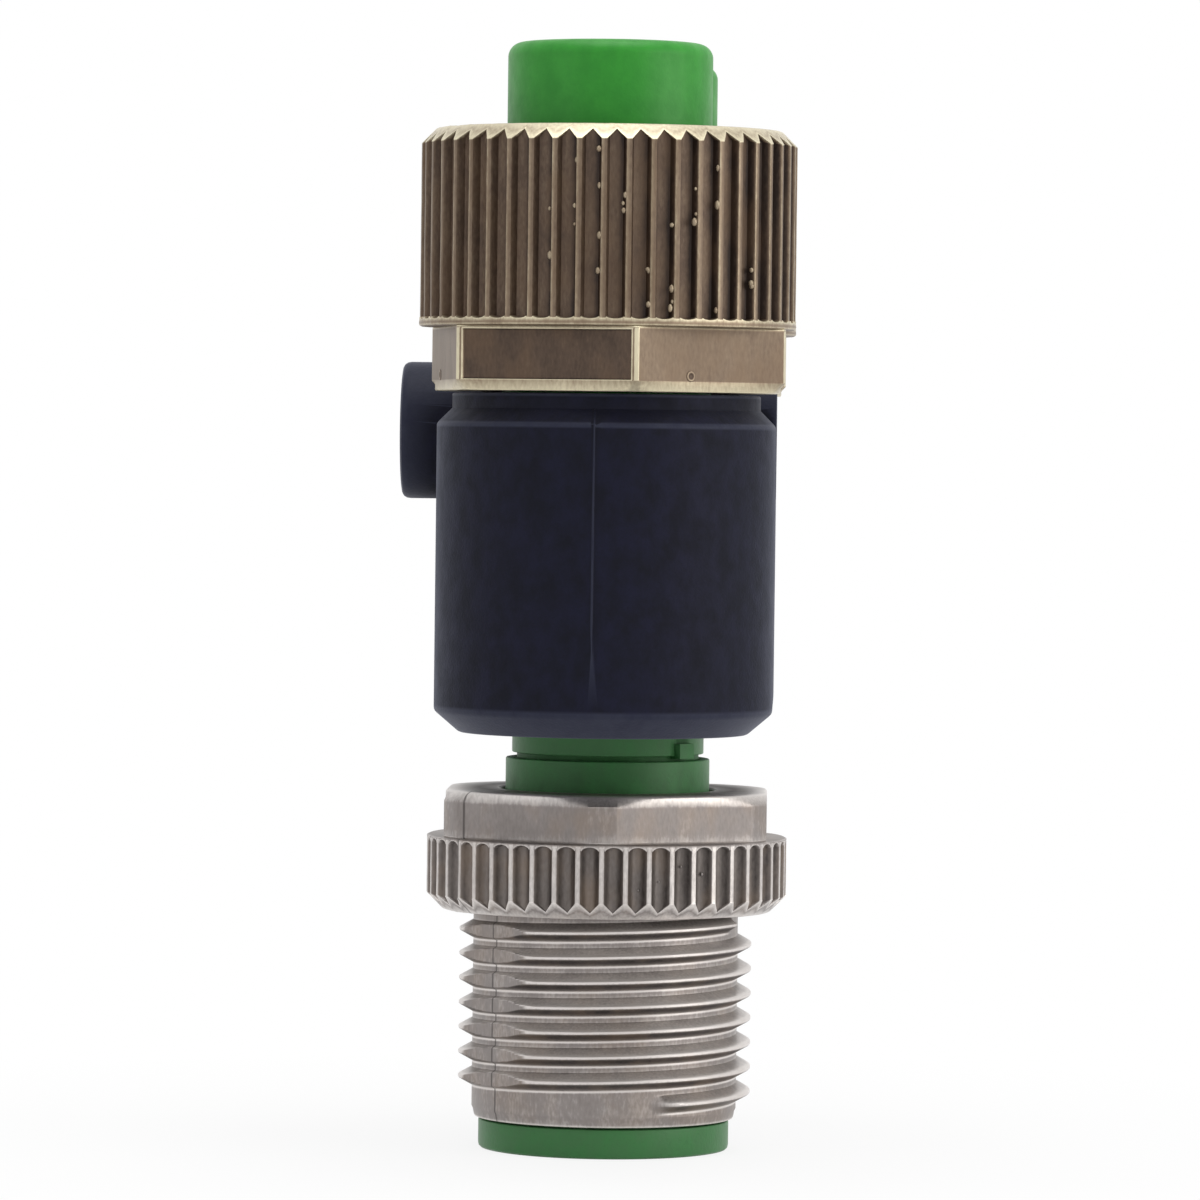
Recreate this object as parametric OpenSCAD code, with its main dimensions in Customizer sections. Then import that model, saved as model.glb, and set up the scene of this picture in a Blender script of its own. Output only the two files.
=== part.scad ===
// Y-shaped M12 coupler: one male plug below, two sockets above, in an overmoulded body.
// The plug's axis is Z, its contact face looks down and rests on z = 0.
// The two sockets stand side by side along Y, one at each end of the body.

/* [Body] */
// Radius of the body's two round ends, which is half its thickness
body_r = 6.7; // [6.4:0.1:9]
// Height of the body between its two end faces
body_h = 12.95; // [10.7:0.05:20]
// Width of the chamfer round the body's lower edge
lower_chamfer_w = 1.0; // [0.2:0.05:1.6]
// Height of the chamfer round the body's lower edge
lower_chamfer_h = 0.85; // [0.2:0.05:1.6]
// Chamfer round the body's upper edge
upper_chamfer = 0.75; // [0.2:0.05:1.4]
// Height of the round seat under each coupling nut
seat_h = 0.45; // [0.2:0.05:1]
// Diameter of the round seat under each coupling nut
seat_d = 12.2; // [11:0.1:12.6]

/* [Fixing sleeve] */
// Diameter of the sleeve that crosses the body between the sockets
sleeve_d = 5.55; // [4.4:0.05:6]
// How far the sleeve stands out of the body's left flank
sleeve_reach = 1.8; // [0.5:0.1:4]
// Height of the body's upper face over the sleeve's axis
sleeve_drop = 1.04; // [0.97:0.01:3]
// Diameter of the fixing hole
fixing_hole_d = 2.6; // [2:0.1:2.7]
// Chamfer round the sleeve's outer end
sleeve_chamfer = 0.3; // [0:0.05:0.6]

/* [Contacts] */
// Diameter of the circle that the four contacts stand on
contact_circle_d = 5.0; // [4.2:0.1:6]
// Diameter of a male pin
pin_d = 1.0; // [0.8:0.05:1.2]
// How far the pins' tips stand back from the plug's end face
pin_recess = 2.0; // [1:0.1:4]
// Outer diameter of a socket contact
socket_od = 1.8; // [1.5:0.05:2]
// Depth of a socket contact's bore
socket_bore_depth = 6.2; // [4:0.1:7]
// How far the socket contacts stand back from the insert's face
socket_recess = 0.5; // [0.2:0.1:1]
// Side of the square section of a conductor
conductor_w = 0.7; // [0.5:0.05:0.8]

/* [Plug] */
// Outer diameter of the plug carrier's tube
tube_od = 9.5; // [9.3:0.05:9.55]
// Diameter of the plug's contact cavity
cavity_d = 8.5; // [8.3:0.05:8.7]
// Depth of the plug's contact cavity
cavity_depth = 9.2; // [7:0.1:11]
// Height of the ring at the plug's tip
tip_ring_h = 1.2; // [0.8:0.1:2]
// Diameter of the ring at the plug's tip
tip_ring_d = 10.2; // [10:0.05:10.5]
// Diameter of the neck that the captive parts turn on
neck_d = 8.3; // [7.8:0.1:8.6]
// How far the thinner neck next to the body is set back, all round
neck_step = 0.25; // [0.1:0.05:0.5]
// Length of the plug's thinner neck outside the body
upper_neck_h = 1.13; // [0.6:0.01:2]

/* [Coupling screw] */
// Length of the plain tip
screw_tip_h = 0.72; // [0.4:0.02:1.5]
// Length of the M12 thread
thread_h = 7.3; // [6:0.1:10]
// Length of the thread's relief
relief_h = 0.44; // [0.3:0.02:1]
// Height of the knurled grip
screw_grip_h = 3.02; // [2:0.02:6]
// Diameter of the knurled grip
screw_grip_d = 14.65; // [14:0.05:16]
// Height of the hexagon
screw_hex_h = 1.9; // [1.6:0.05:4]
// Diameter that the hexagon's corners are turned down to
screw_hex_d = 14.4; // [13.5:0.1:15]
// Number of flutes round the grip
screw_flutes = 48; // [30:1:60]
// Depth of the flutes on the screw and the nuts
flute_depth = 0.38; // [0.2:0.02:0.5]
// How far the screw slides back towards the body
screw_travel = 2.4; // [1:0.1:4]

/* [Coupling nuts] */
// Width across the flats of the hexagons on the nuts and the screw
hex_af = 13.0; // [12.5:0.1:13.4]
// Chamfer that turns down the corners of a hexagon's free end
hex_chamfer = 0.4; // [0.1:0.05:0.6]
// Height of a nut's hexagon
nut_hex_h = 2.54; // [2.2:0.02:4]
// Depth of the panels sunk into a nut's flats
panel_depth = 0.1; // [0.05:0.01:0.3]
// Width of the frame left round each sunk panel
panel_frame = 0.42; // [0.2:0.02:0.8]
// Height of a nut's knurled grip
nut_grip_h = 7.8; // [6:0.01:12]
// Diameter of a nut's knurled grip
nut_grip_d = 14.85; // [14:0.05:15.6]
// Number of flutes round a nut
nut_flutes = 48; // [30:1:60]
// Height of the plain rim under the flutes
nut_rim_h = 0.25; // [0.1:0.05:1]
// Diameter of the nut's bore at the crests of its thread
nut_bore_d = 10.92; // [10.8:0.02:11]
// How far a nut slides up off its seat
nut_travel = 1.0; // [0.5:0.1:2]
// Gap between the widest parts of the two nuts
nut_gap = 1.389; // [0.8:0.001:8]

/* [Socket inserts] */
// Diameter of the contact insert that the mating plug slides over
insert_d = 8.1; // [8:0.05:8.3]
// Length of the contact insert over its flange
insert_len = 9.11; // [8:0.01:12]
// Height of the flange that holds the nut and the seal
flange_h = 1.2; // [0.8:0.1:2]
// Diameter of the flange that holds the nut and the seal
flange_d = 10.2; // [9.6:0.1:10.4]
// Width of the coding key and its groove
key_w = 1.1; // [0.8:0.05:1.4]
// Height of the coding key
key_h = 0.45; // [0.3:0.05:0.6]
// Radius of the insert's rounded edge
insert_edge_r = 0.7; // [0.2:0.05:1]
// Depth of the groove that the seal ring sits in
seal_groove_depth = 0.25; // [0.1:0.05:0.4]
// Diameter of the seal ring's section
seal_section = 1.05; // [0.8:0.05:1.1]

/* [Fits] */
// Gap between a captive part's collar and the neck it turns on, all round
collar_clear = 0.25; // [0.2:0.05:0.5]
// Play between a captive part and the faces that stop it
play = 0.08; // [0.04:0.01:0.2]
// Gap left at the end of a captive part's travel
travel_clear = 0.19; // [0.1:0.01:0.4]
// Gap round the snap ring in its groove and on the neck
ring_clear = 0.1; // [0.05:0.01:0.2]
// Gap between the nuts and the sleeve between them
nut_clear = 0.35; // [0.2:0.05:0.6]
// Play of the coding key in its groove
key_clear = 0.1; // [0.05:0.01:0.2]
// Gap round a seal ring before it is squeezed
seal_clear = 0.03; // [0.01:0.01:0.1]
// Height of a snap ring
ring_h = 0.6; // [0.4:0.05:0.8]
// Radial width of a snap ring
ring_w = 0.6; // [0.5:0.05:0.8]

/* [Hidden] */
CONTACTS = [1:4];
$fn = 64;

eps = 0.01;
collar_h = 1.66;          // height of the inner collar that a snap ring sits in
nut_collar_h = 2.27;
shoulder_gap = 0.15;      // between the screw's collar and the tube's shoulder
anchor_h = 1.95;          // how deep the plug's neck is moulded into the body
tail_h = 0.7;             // how far a pin's tail stands out of its carrier
embed_h = 2.7;            // how deep a socket's neck is moulded into the body
socket_tail_drop = 4.7;   // from the body's upper face down to the socket tails
tail_d = 1.0;
hex_r = hex_af / 2 / cos(30);
nut_r = max(hex_r, nut_grip_d / 2);
socket_pitch = 2 * nut_r + nut_gap;
upper_neck_d = neck_d - 2 * neck_step;

// Stack of heights along the plug, from its tip to the body.
screw_z = tip_ring_h + play;
thread_z = screw_z + screw_tip_h;
relief_z = thread_z + thread_h;
screw_grip_z = relief_z + relief_h;
screw_hex_z = screw_grip_z + screw_grip_h;
screw_top = screw_hex_z + screw_hex_h;
screw_collar_z = screw_top - collar_h;
tube_top = screw_collar_z - shoulder_gap;
body_z = screw_top + screw_travel + travel_clear;
upper_neck_z = body_z - upper_neck_h;

// Stack of heights along the sockets, from the body to the inserts' faces.
body_top = body_z + body_h;
seat_z = body_top + seat_h;
nut_z = seat_z + play;
nut_grip_z = nut_z + nut_hex_h;
nut_top = nut_grip_z + nut_grip_h;
collar_top = nut_z + nut_collar_h;
flange_z = collar_top + nut_travel + travel_clear;
insert_z = flange_z + flange_h;
face_z = insert_z + insert_len;
seal_groove_d = insert_d - 2 * seal_groove_depth;
seal_groove_h = seal_section + 2 * seal_clear;

// Snap rings: one in the screw's collar and one in each nut's.
ring_r_in = neck_d / 2 + ring_clear;
ring_r_out = ring_r_in + ring_w;
groove_h = ring_h + 2 * ring_clear;
groove_r = ring_r_out + ring_clear;
collar_r = neck_d / 2 + collar_clear;
screw_ring_z = screw_collar_z + (collar_h - ring_h) / 2;
nut_ring_z = nut_z + (nut_collar_h - ring_h) / 2;

// Contacts and conductors.
contact_xy = contact_circle_d / 2 * sin(45);
pin_top = body_z + anchor_h + tail_h;
socket_tail_z = body_top - socket_tail_drop;
level_step = (socket_tail_z - pin_top) / 4;
outer_x = contact_xy + 1.13;
front_y = -socket_pitch / 2;
rear_y = socket_pitch / 2;
sleeve_z = body_top - sleeve_drop;

function contact_x(i) = (i == 1 || i == 4 ? 1 : -1) * contact_xy;
function contact_y(i) = (i <= 2 ? 1 : -1) * contact_xy;

// ---- Body ----

// Half outline of the body across its thickness, from the middle plane to the flank.
module body_profile() {
    polygon([
        [0, body_z],
        [body_r - lower_chamfer_w, body_z],
        [body_r, body_z + lower_chamfer_h],
        [body_r, body_top - upper_chamfer],
        [body_r - upper_chamfer, body_top],
        [0, body_top]]);
}

module body_block() {
    for (side = [0, 1])
        translate([0, side == 0 ? front_y : rear_y, 0])
            rotate([0, 0, side == 0 ? 180 : 0])
                rotate_extrude(angle = 180) body_profile();
    for (side = [0, 1])
        mirror([side, 0, 0])
            translate([0, rear_y, 0])
                rotate([90, 0, 0])
                    linear_extrude(socket_pitch) body_profile();
}

module sleeve() {
    translate([-body_r - sleeve_reach, 0, sleeve_z])
        rotate([0, 90, 0]) {
            cylinder(h = sleeve_chamfer, d1 = sleeve_d - 2 * sleeve_chamfer, d2 = sleeve_d);
            translate([0, 0, sleeve_chamfer])
                cylinder(h = 2 * body_r + sleeve_reach - sleeve_chamfer, d = sleeve_d);
        }
}

module housing() {
    color("#26262f")
    difference() {
        union() {
            body_block();
            sleeve();
            for (y = [front_y, rear_y])
                translate([0, y, body_top - eps]) cylinder(h = seat_h + eps, d = seat_d);
        }
        for (y = [front_y, rear_y])
            translate([0, y, seat_z])
                cylinder(h = nut_grip_h, r = nut_r + nut_clear);
        translate([-body_r - sleeve_reach - 1, 0, sleeve_z])
            rotate([0, 90, 0])
                cylinder(h = 2 * body_r + sleeve_reach + 2, d = fixing_hole_d);
        plug_neck();
        for (y = [front_y, rear_y]) translate([0, y, 0]) socket_neck();
        for (i = CONTACTS) {
            pin_tail(i);
            for (y = [front_y, rear_y]) socket_tail(i, y);
            conductor_path(i);
        }
    }
}

// ---- Plug ----

// The plug's neck up to its anchored end, as the body is moulded round it.
module plug_neck() {
    translate([0, 0, upper_neck_z])
        cylinder(h = upper_neck_h + anchor_h, d = upper_neck_d);
    translate([0, 0, body_z + anchor_h / 2])
        cylinder(h = anchor_h / 2, d = neck_d);
}

module orientation_key() {
    key_angle = 52 - 90;
    rotate([0, 0, key_angle])
        translate([upper_neck_d / 2 - 0.3, -0.45, upper_neck_z - eps])
            cube([0.3 + (neck_d - upper_neck_d) / 2, 0.9, 0.5 + eps]);
}

module male_carrier() {
    tip_edge = 0.2;
    groove = 0.2;
    color("#3b7a3a")
    difference() {
        union() {
            cylinder(h = tip_edge, d1 = tip_ring_d - 2 * tip_edge, d2 = tip_ring_d);
            translate([0, 0, tip_edge]) cylinder(h = tip_ring_h - tip_edge, d = tip_ring_d);
            translate([0, 0, tip_ring_h]) cylinder(h = tube_top - tip_ring_h, d = tube_od);
            translate([0, 0, tube_top]) cylinder(h = upper_neck_z - groove - tube_top, d = neck_d);
            translate([0, 0, upper_neck_z - groove]) cylinder(h = groove, d = upper_neck_d - 2 * groove);
            plug_neck();
            orientation_key();
        }
        difference() {
            translate([0, 0, -eps]) cylinder(h = cavity_depth + eps, d = cavity_d);
            translate([-key_w / 2, cavity_d / 2 - key_h, -1])
                cube([key_w, key_h + eps, cavity_depth + 2]);
        }
        for (i = CONTACTS)
            translate([contact_x(i), contact_y(i), cavity_depth - eps])
                cylinder(h = pin_top, d = pin_d);
    }
}

// The part of a pin behind its carrier.
module pin_tail(i) {
    translate([contact_x(i), contact_y(i), body_z + anchor_h])
        cylinder(h = tail_h, d = pin_d);
}

module male_pin(i) {
    tip = pin_d / 2 - 0.15;
    color("#cdb06a")
    translate([contact_x(i), contact_y(i), 0])
        rotate_extrude()
            polygon([
                [0, pin_recess],
                [0.15, pin_recess],
                [pin_d / 2, pin_recess + tip],
                [pin_d / 2, pin_top],
                [0, pin_top]]);
}

// ---- Sockets ----

// The socket's neck, as the body is moulded round it.
module socket_neck() {
    translate([0, 0, body_top - embed_h]) cylinder(h = embed_h + flange_z - body_top, d = neck_d);
    translate([0, 0, body_top - embed_h]) cylinder(h = embed_h / 3, d = flange_d);
}

// A post with a quarter-round edge on its end.
module rounded_post(h, d, edge_r) {
    cylinder(h = h - edge_r, d = d);
    cylinder(h = h, d = d - 2 * edge_r);
    translate([0, 0, h - edge_r])
        rotate_extrude()
            translate([d / 2 - edge_r, 0])
                intersection() {
                    circle(r = edge_r);
                    square(edge_r);
                }
}

module socket_carrier(y) {
    neck_h = flange_z - body_top + embed_h;
    color("#3fa535")
    translate([0, y, 0])
    difference() {
        union() {
            socket_neck();
            translate([0, 0, flange_z]) cylinder(h = flange_h, d = flange_d);
            translate([0, 0, insert_z]) cylinder(h = seal_groove_h, d = seal_groove_d);
            translate([0, 0, insert_z + seal_groove_h])
                rounded_post(insert_len - seal_groove_h, insert_d, insert_edge_r);
        }
        translate([-key_w / 2, insert_d / 2 - key_h - key_clear, insert_z + 2 * seal_section])
            cube([key_w, 1 + key_h + key_clear, insert_len]);
        for (i = CONTACTS)
            translate([contact_x(i), contact_y(i), flange_z - neck_h - eps]) {
                cylinder(h = neck_h + 2 * eps, d = tail_d);
                translate([0, 0, neck_h + eps]) cylinder(h = face_z, d = socket_od);
            }
    }
}

// The part of a socket contact between its carrier and its conductor.
module socket_tail(i, y) {
    translate([contact_x(i), y + contact_y(i), socket_tail_z])
        cylinder(h = body_top - embed_h - socket_tail_z, d = tail_d);
}

module socket_contact(i, y) {
    bore_d = pin_d + 0.05;
    slit_w = 0.2;
    slit_h = 4;
    top = face_z - socket_recess;
    color("#cdb06a")
    translate([contact_x(i), y + contact_y(i), 0])
    difference() {
        union() {
            translate([0, 0, socket_tail_z]) cylinder(h = flange_z - socket_tail_z, d = tail_d);
            translate([0, 0, flange_z]) cylinder(h = top - flange_z, d = socket_od);
        }
        translate([0, 0, top - socket_bore_depth]) cylinder(h = socket_bore_depth + 1, d = bore_d);
        translate([-socket_od, -slit_w / 2, top - slit_h]) cube([2 * socket_od, slit_w, slit_h + 1]);
    }
}

// ---- Conductors ----

// A square bar from one corner point of a route to the next, along one axis.
module bar(from, to) {
    low = [for (k = [0:2]) min(from[k], to[k])];
    high = [for (k = [0:2]) max(from[k], to[k])];
    translate([for (k = [0:2]) low[k] - conductor_w / 2])
        cube([for (k = [0:2]) high[k] - low[k] + conductor_w]);
}

// A square post between two heights, ending flush at both.
module post(x, y, z0, z1) {
    translate([x - conductor_w / 2, y - conductor_w / 2, z0]) cube([conductor_w, conductor_w, z1 - z0]);
}

// Contacts 3 and 4 run straight along the body on the upper level.
// Contacts 1 and 2 step outwards on the lower level and back in on the crossing level.
module conductor_path(i) {
    x = contact_x(i);
    y = contact_y(i);
    outside = i <= 2;
    run_x = outside ? sign(x) * outer_x : x;
    run_z = pin_top + (outside ? 1 : 2) * level_step;
    cross_z = pin_top + 3 * level_step;
    post(x, y, pin_top, run_z);
    bar([x, y, run_z], [run_x, y, run_z]);
    bar([run_x, front_y + y, run_z], [run_x, rear_y + y, run_z]);
    for (socket_y = [front_y, rear_y]) {
        if (outside) {
            bar([run_x, socket_y + y, run_z], [run_x, socket_y + y, cross_z]);
            bar([run_x, socket_y + y, cross_z], [x, socket_y + y, cross_z]);
        }
        post(x, socket_y + y, outside ? cross_z : run_z, socket_tail_z);
    }
}

module conductor(i) {
    color("#b87333") conductor_path(i);
}

// ---- Captive parts ----

// Outline of a fluted grip: a flat-topped ridge and a V flute, repeated.
module fluted_outline(d, flutes) {
    ridge_share = 0.42;
    pitch = 360 / flutes;
    half_ridge = pitch * ridge_share / 2;
    polygon([
        for (k = [0:flutes - 1])
            for (p = [[-half_ridge, d / 2], [half_ridge, d / 2], [pitch / 2, d / 2 - flute_depth]])
                p[1] * [cos(k * pitch + p[0]), sin(k * pitch + p[0])]]);
}

// A grip with flutes, a plain rim under them and a chamfer on each end.
module grip(h, d, flutes, rim_h, low_chamfer, high_chamfer) {
    rim_step = 0.03;
    outer = d / 2 + rim_step;
    intersection() {
        union() {
            if (rim_h > 0) cylinder(h = rim_h, d = d + 2 * rim_step);
            translate([0, 0, rim_h]) linear_extrude(h - rim_h) fluted_outline(d, flutes);
        }
        rotate_extrude()
            polygon([
                [0, 0],
                [outer - low_chamfer, 0],
                [outer + eps, low_chamfer + eps],
                [outer + eps, h - high_chamfer - eps],
                [outer - high_chamfer, h],
                [0, h]]);
    }
}

// Bore of an inner collar with the groove for its snap ring.
module collar_bore(collar_z, h, ring_z) {
    translate([0, 0, collar_z - eps]) cylinder(h = h + 2 * eps, r = collar_r);
    translate([0, 0, ring_z - ring_clear]) cylinder(h = groove_h, r = groove_r);
}

module coupling_screw() {
    thread_d = 11.9;
    tip_d = 10.6;
    relief_d = 10.76;
    tip_blend = 0.25;
    color("#b0a8a0")
    difference() {
        union() {
            translate([0, 0, screw_z]) cylinder(h = screw_tip_h, d = tip_d);
            translate([0, 0, thread_z]) cylinder(h = tip_blend, d1 = tip_d, d2 = thread_d);
            translate([0, 0, thread_z + tip_blend]) cylinder(h = thread_h - tip_blend, d = thread_d);
            translate([0, 0, relief_z]) cylinder(h = relief_h, d = relief_d);
            translate([0, 0, screw_grip_z])
                grip(screw_grip_h, screw_grip_d, screw_flutes, 0, 0.65, 0.15);
            translate([0, 0, screw_hex_z])
                intersection() {
                    rotate([0, 0, 30]) cylinder(h = screw_hex_h, r = hex_r, $fn = 6);
                    union() {
                        cylinder(h = screw_hex_h - hex_chamfer, d = screw_hex_d);
                        translate([0, 0, screw_hex_h - hex_chamfer])
                            cylinder(h = hex_chamfer, d1 = screw_hex_d, d2 = screw_hex_d - 2 * hex_chamfer);
                    }
                }
        }
        translate([0, 0, screw_z - 1])
            cylinder(h = screw_collar_z - screw_z + 1, d = tube_od + 0.2);
        collar_bore(screw_collar_z, collar_h, screw_ring_z);
    }
}

// Shallow panels sunk into every other flat of a nut's hexagon, inside a frame that stays proud.
module hex_panels(h, depth, frame_w) {
    panel_w = hex_r - 2 * frame_w;
    for (turn = [0:120:240])
        rotate([0, 0, turn])
            translate([hex_af / 2 - depth, -panel_w / 2, frame_w])
                cube([depth + 1, panel_w, h - 2 * frame_w]);
}

module coupling_nut(y) {
    hex_turn = 10.3;
    color("#8a7a66")
    translate([0, y, 0])
    difference() {
        union() {
            translate([0, 0, nut_z])
                rotate([0, 0, 30 + hex_turn])
                    intersection() {
                        cylinder(h = nut_hex_h, r = hex_r, $fn = 6);
                        union() {
                            cylinder(h = hex_chamfer, r1 = hex_r - hex_chamfer, r2 = hex_r);
                            translate([0, 0, hex_chamfer])
                                cylinder(h = nut_hex_h, r = hex_r + eps);
                        }
                    }
            translate([0, 0, nut_grip_z])
                grip(nut_grip_h, nut_grip_d, nut_flutes, nut_rim_h, 0.1, 0.6);
        }
        translate([0, 0, nut_z]) rotate([0, 0, hex_turn]) hex_panels(nut_hex_h, panel_depth, panel_frame);
        translate([0, 0, collar_top]) cylinder(h = nut_top - collar_top + 1, d = nut_bore_d);
        translate([0, 0, nut_top - 0.5])
            cylinder(h = 0.5 + eps, d1 = nut_bore_d, d2 = nut_bore_d + 1);
        collar_bore(nut_z, nut_collar_h, nut_ring_z);
    }
}

// An open ring of spring steel.
module snap_ring(z) {
    gap = 0.8;
    color("#9a9da3")
    translate([0, 0, z])
    difference() {
        cylinder(h = ring_h, r = ring_r_out);
        translate([0, 0, -1]) cylinder(h = ring_h + 2, r = ring_r_in);
        translate([-gap / 2, 0, -1]) cube([gap, ring_r_out + 1, ring_h + 2]);
    }
}

module seal_ring(y) {
    color("#2a2a2a")
    translate([0, y, insert_z + seal_section / 2 + seal_clear])
        rotate_extrude()
            translate([seal_groove_d / 2 + seal_clear + seal_section / 2, 0])
                circle(d = seal_section);
}

housing();
male_carrier();
socket_carrier(front_y);  // front_socket_carrier
socket_carrier(rear_y);  // rear_socket_carrier
coupling_screw();
coupling_nut(front_y);  // front_nut
coupling_nut(rear_y);  // rear_nut
seal_ring(front_y);  // front_seal
seal_ring(rear_y);  // rear_seal
snap_ring(screw_ring_z);  // screw_snap_ring
translate([0, front_y, 0]) snap_ring(nut_ring_z);  // front_snap_ring
translate([0, rear_y, 0]) snap_ring(nut_ring_z);  // rear_snap_ring
for (i = CONTACTS) {
    male_pin(i);
    socket_contact(i, front_y);
    socket_contact(i, rear_y);
    conductor(i);
}
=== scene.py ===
"""Visual model of an M12 Y coupler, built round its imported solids.

Lengths are written in millimetres and angles in degrees. They become metres and radians
when a mesh or a node tree is made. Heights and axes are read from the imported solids.
"""
import logging
import math
from dataclasses import dataclass, field
from enum import Enum
from typing import Iterable, Optional, Protocol, Sequence, Union

import bmesh
import bpy
from mathutils import Matrix, Vector


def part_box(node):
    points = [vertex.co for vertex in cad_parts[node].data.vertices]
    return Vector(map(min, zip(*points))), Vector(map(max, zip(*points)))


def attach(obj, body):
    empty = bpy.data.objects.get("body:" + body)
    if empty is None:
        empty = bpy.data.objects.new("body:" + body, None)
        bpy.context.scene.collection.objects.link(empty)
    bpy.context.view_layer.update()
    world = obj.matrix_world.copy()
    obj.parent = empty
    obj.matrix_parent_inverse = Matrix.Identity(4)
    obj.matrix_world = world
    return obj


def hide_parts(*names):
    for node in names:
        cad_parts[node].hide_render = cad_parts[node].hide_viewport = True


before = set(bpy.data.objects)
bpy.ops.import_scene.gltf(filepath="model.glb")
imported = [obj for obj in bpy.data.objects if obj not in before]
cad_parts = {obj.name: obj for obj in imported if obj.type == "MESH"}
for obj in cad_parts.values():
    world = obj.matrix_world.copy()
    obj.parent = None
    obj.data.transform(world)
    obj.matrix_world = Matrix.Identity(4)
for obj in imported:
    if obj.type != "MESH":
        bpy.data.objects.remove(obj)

LOG = logging.getLogger("coupler")
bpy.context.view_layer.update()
MM = 0.001  # metres in a millimetre
WEAR_AND_LIGHT = "wear"  # attribute that holds how polished each corner is, with painted highlights and shade mixed in on some parts
PLAIN, RUBBED_AND_HIGHLIGHT, INNER_CORNER = 0.3, 1.0, 0.05  # wear of plain surfaces, of edges, partly a painted highlight, and of inner corners
WELD = 0.0005  # corners nearer than this become one
FRONT = -90.0  # direction that faces the camera
UP_TO_X = Matrix.Rotation(math.radians(90), 3, "Y")  # lays the Z axis along X

Row = tuple[float, float, float]
Column = tuple[float, list[Row]]
Point = tuple[float, float, float]
Colour = tuple[float, float, float]
Input = Union[bpy.types.NodeSocket, float, int, tuple]
Sockets = bpy.types.bpy_prop_collection
WHOLE, NUMBER = "NodeSocketInt", "NodeSocketFloat"  # kinds of inputs of the patterns
ARROW, STUFF = "NodeSocketVector", "NodeSocketMaterial"


def linear(code: str) -> Colour:
    """Turn a display colour into linear light.

    Args:
        code: Six hexadecimal digits, two each for red, green and blue.

    Returns:
        The linear red, green and blue.
    """
    parts = [int(code[k:k + 2], 16) / 255 for k in (0, 2, 4)]
    return tuple(p / 12.92 if p <= 0.04045 else ((p + 0.055) / 1.055) ** 2.4 for p in parts)


def low(node: str) -> Vector:
    """Return a solid's lowest corner in millimetres."""
    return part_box(node)[0] / MM


def high(node: str) -> Vector:
    """Return a solid's highest corner in millimetres."""
    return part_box(node)[1] / MM


def axis_y(node: str) -> float:
    """Return the middle of a solid along Y in millimetres."""
    return (low(node).y + high(node).y) / 2


# ---------------------------------------------------------------- meshes


@dataclass
class Shell:
    """A surface in millimetres.

    Args:
        points: Corner positions.
        faces: Corner numbers of each face.
        wear: How polished each corner is, from 0 in a corner to 1 on an edge. On some parts it also holds
            painted highlights and shade.
    """

    points: list[Point] = field(default_factory=list)
    faces: list[tuple[int, ...]] = field(default_factory=list)
    wear: list[float] = field(default_factory=list)

    def add(self, other: "Shell") -> "Shell":
        """Append another shell and return this one.

        Args:
            other: The shell to append.

        Returns:
            This shell, so that calls can be chained.
        """
        base = len(self.points)
        self.points += other.points
        self.faces += [tuple(base + i for i in face) for face in other.faces]
        self.wear += other.wear
        return self

    def moved(self, offset: Point) -> "Shell":
        """Return a copy moved by an offset in millimetres."""
        return Shell([tuple(a + b for a, b in zip(p, offset)) for p in self.points],
                     list(self.faces), list(self.wear))

    def turned(self, matrix: Matrix) -> "Shell":
        """Return a copy turned by a matrix."""
        return Shell([tuple(matrix @ Vector(p)) for p in self.points], list(self.faces), list(self.wear))


def polar(radius: float, angle: float, height: float) -> Point:
    """Return the point at a radius, an angle in degrees and a height."""
    turn = math.radians(angle)
    return (radius * math.cos(turn), radius * math.sin(turn), height)


def swept(columns: Sequence[Column]) -> Shell:
    """Make a surface from upright columns of rows that stand round the axis.

    Args:
        columns: Angle and rows of each column, all with as many rows. Each column is a loop.

    Returns:
        The open sector between the first and the last column.
    """
    shell = Shell()
    count = len(columns[0][1])
    for angle, rows in columns:
        for radius, height, wear in rows:
            shell.points.append(polar(radius, angle, height))
            shell.wear.append(wear)
    for i in range(len(columns) - 1):
        for j in range(count):
            k = (j + 1) % count
            shell.faces.append((i * count + j, (i + 1) * count + j, (i + 1) * count + k, i * count + k))
    return shell


def lathe(rows: Sequence[Row], segments: int, closed_path: bool = True) -> Shell:
    """Revolve a path round the Z axis.

    Args:
        rows: Radius, height and wear of each point of the path.
        segments: Number of facets round the axis.
        closed_path: Whether the path is a loop. An open path closes on the axis or stays open.

    Returns:
        The revolved shell, without doubled corners.
    """
    shell = Shell()
    rings: list[list[int]] = []
    for radius, height, wear in rows:
        size = segments if radius > 1e-6 else 1
        start = len(shell.points)
        rings.append([start + k % size for k in range(segments)])
        for k in range(size):
            shell.points.append(polar(radius, k * 360 / segments, height))
            shell.wear.append(wear)
    pairs = list(zip(rings, rings[1:]))
    if closed_path:
        pairs.append((rings[-1], rings[0]))
    for a, b in pairs:
        for k in range(segments):
            n = (k + 1) % segments
            face = tuple(dict.fromkeys((a[k], a[n], b[n], b[k])))
            if len(face) > 2:
                shell.faces.append(face)
    return shell


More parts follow.
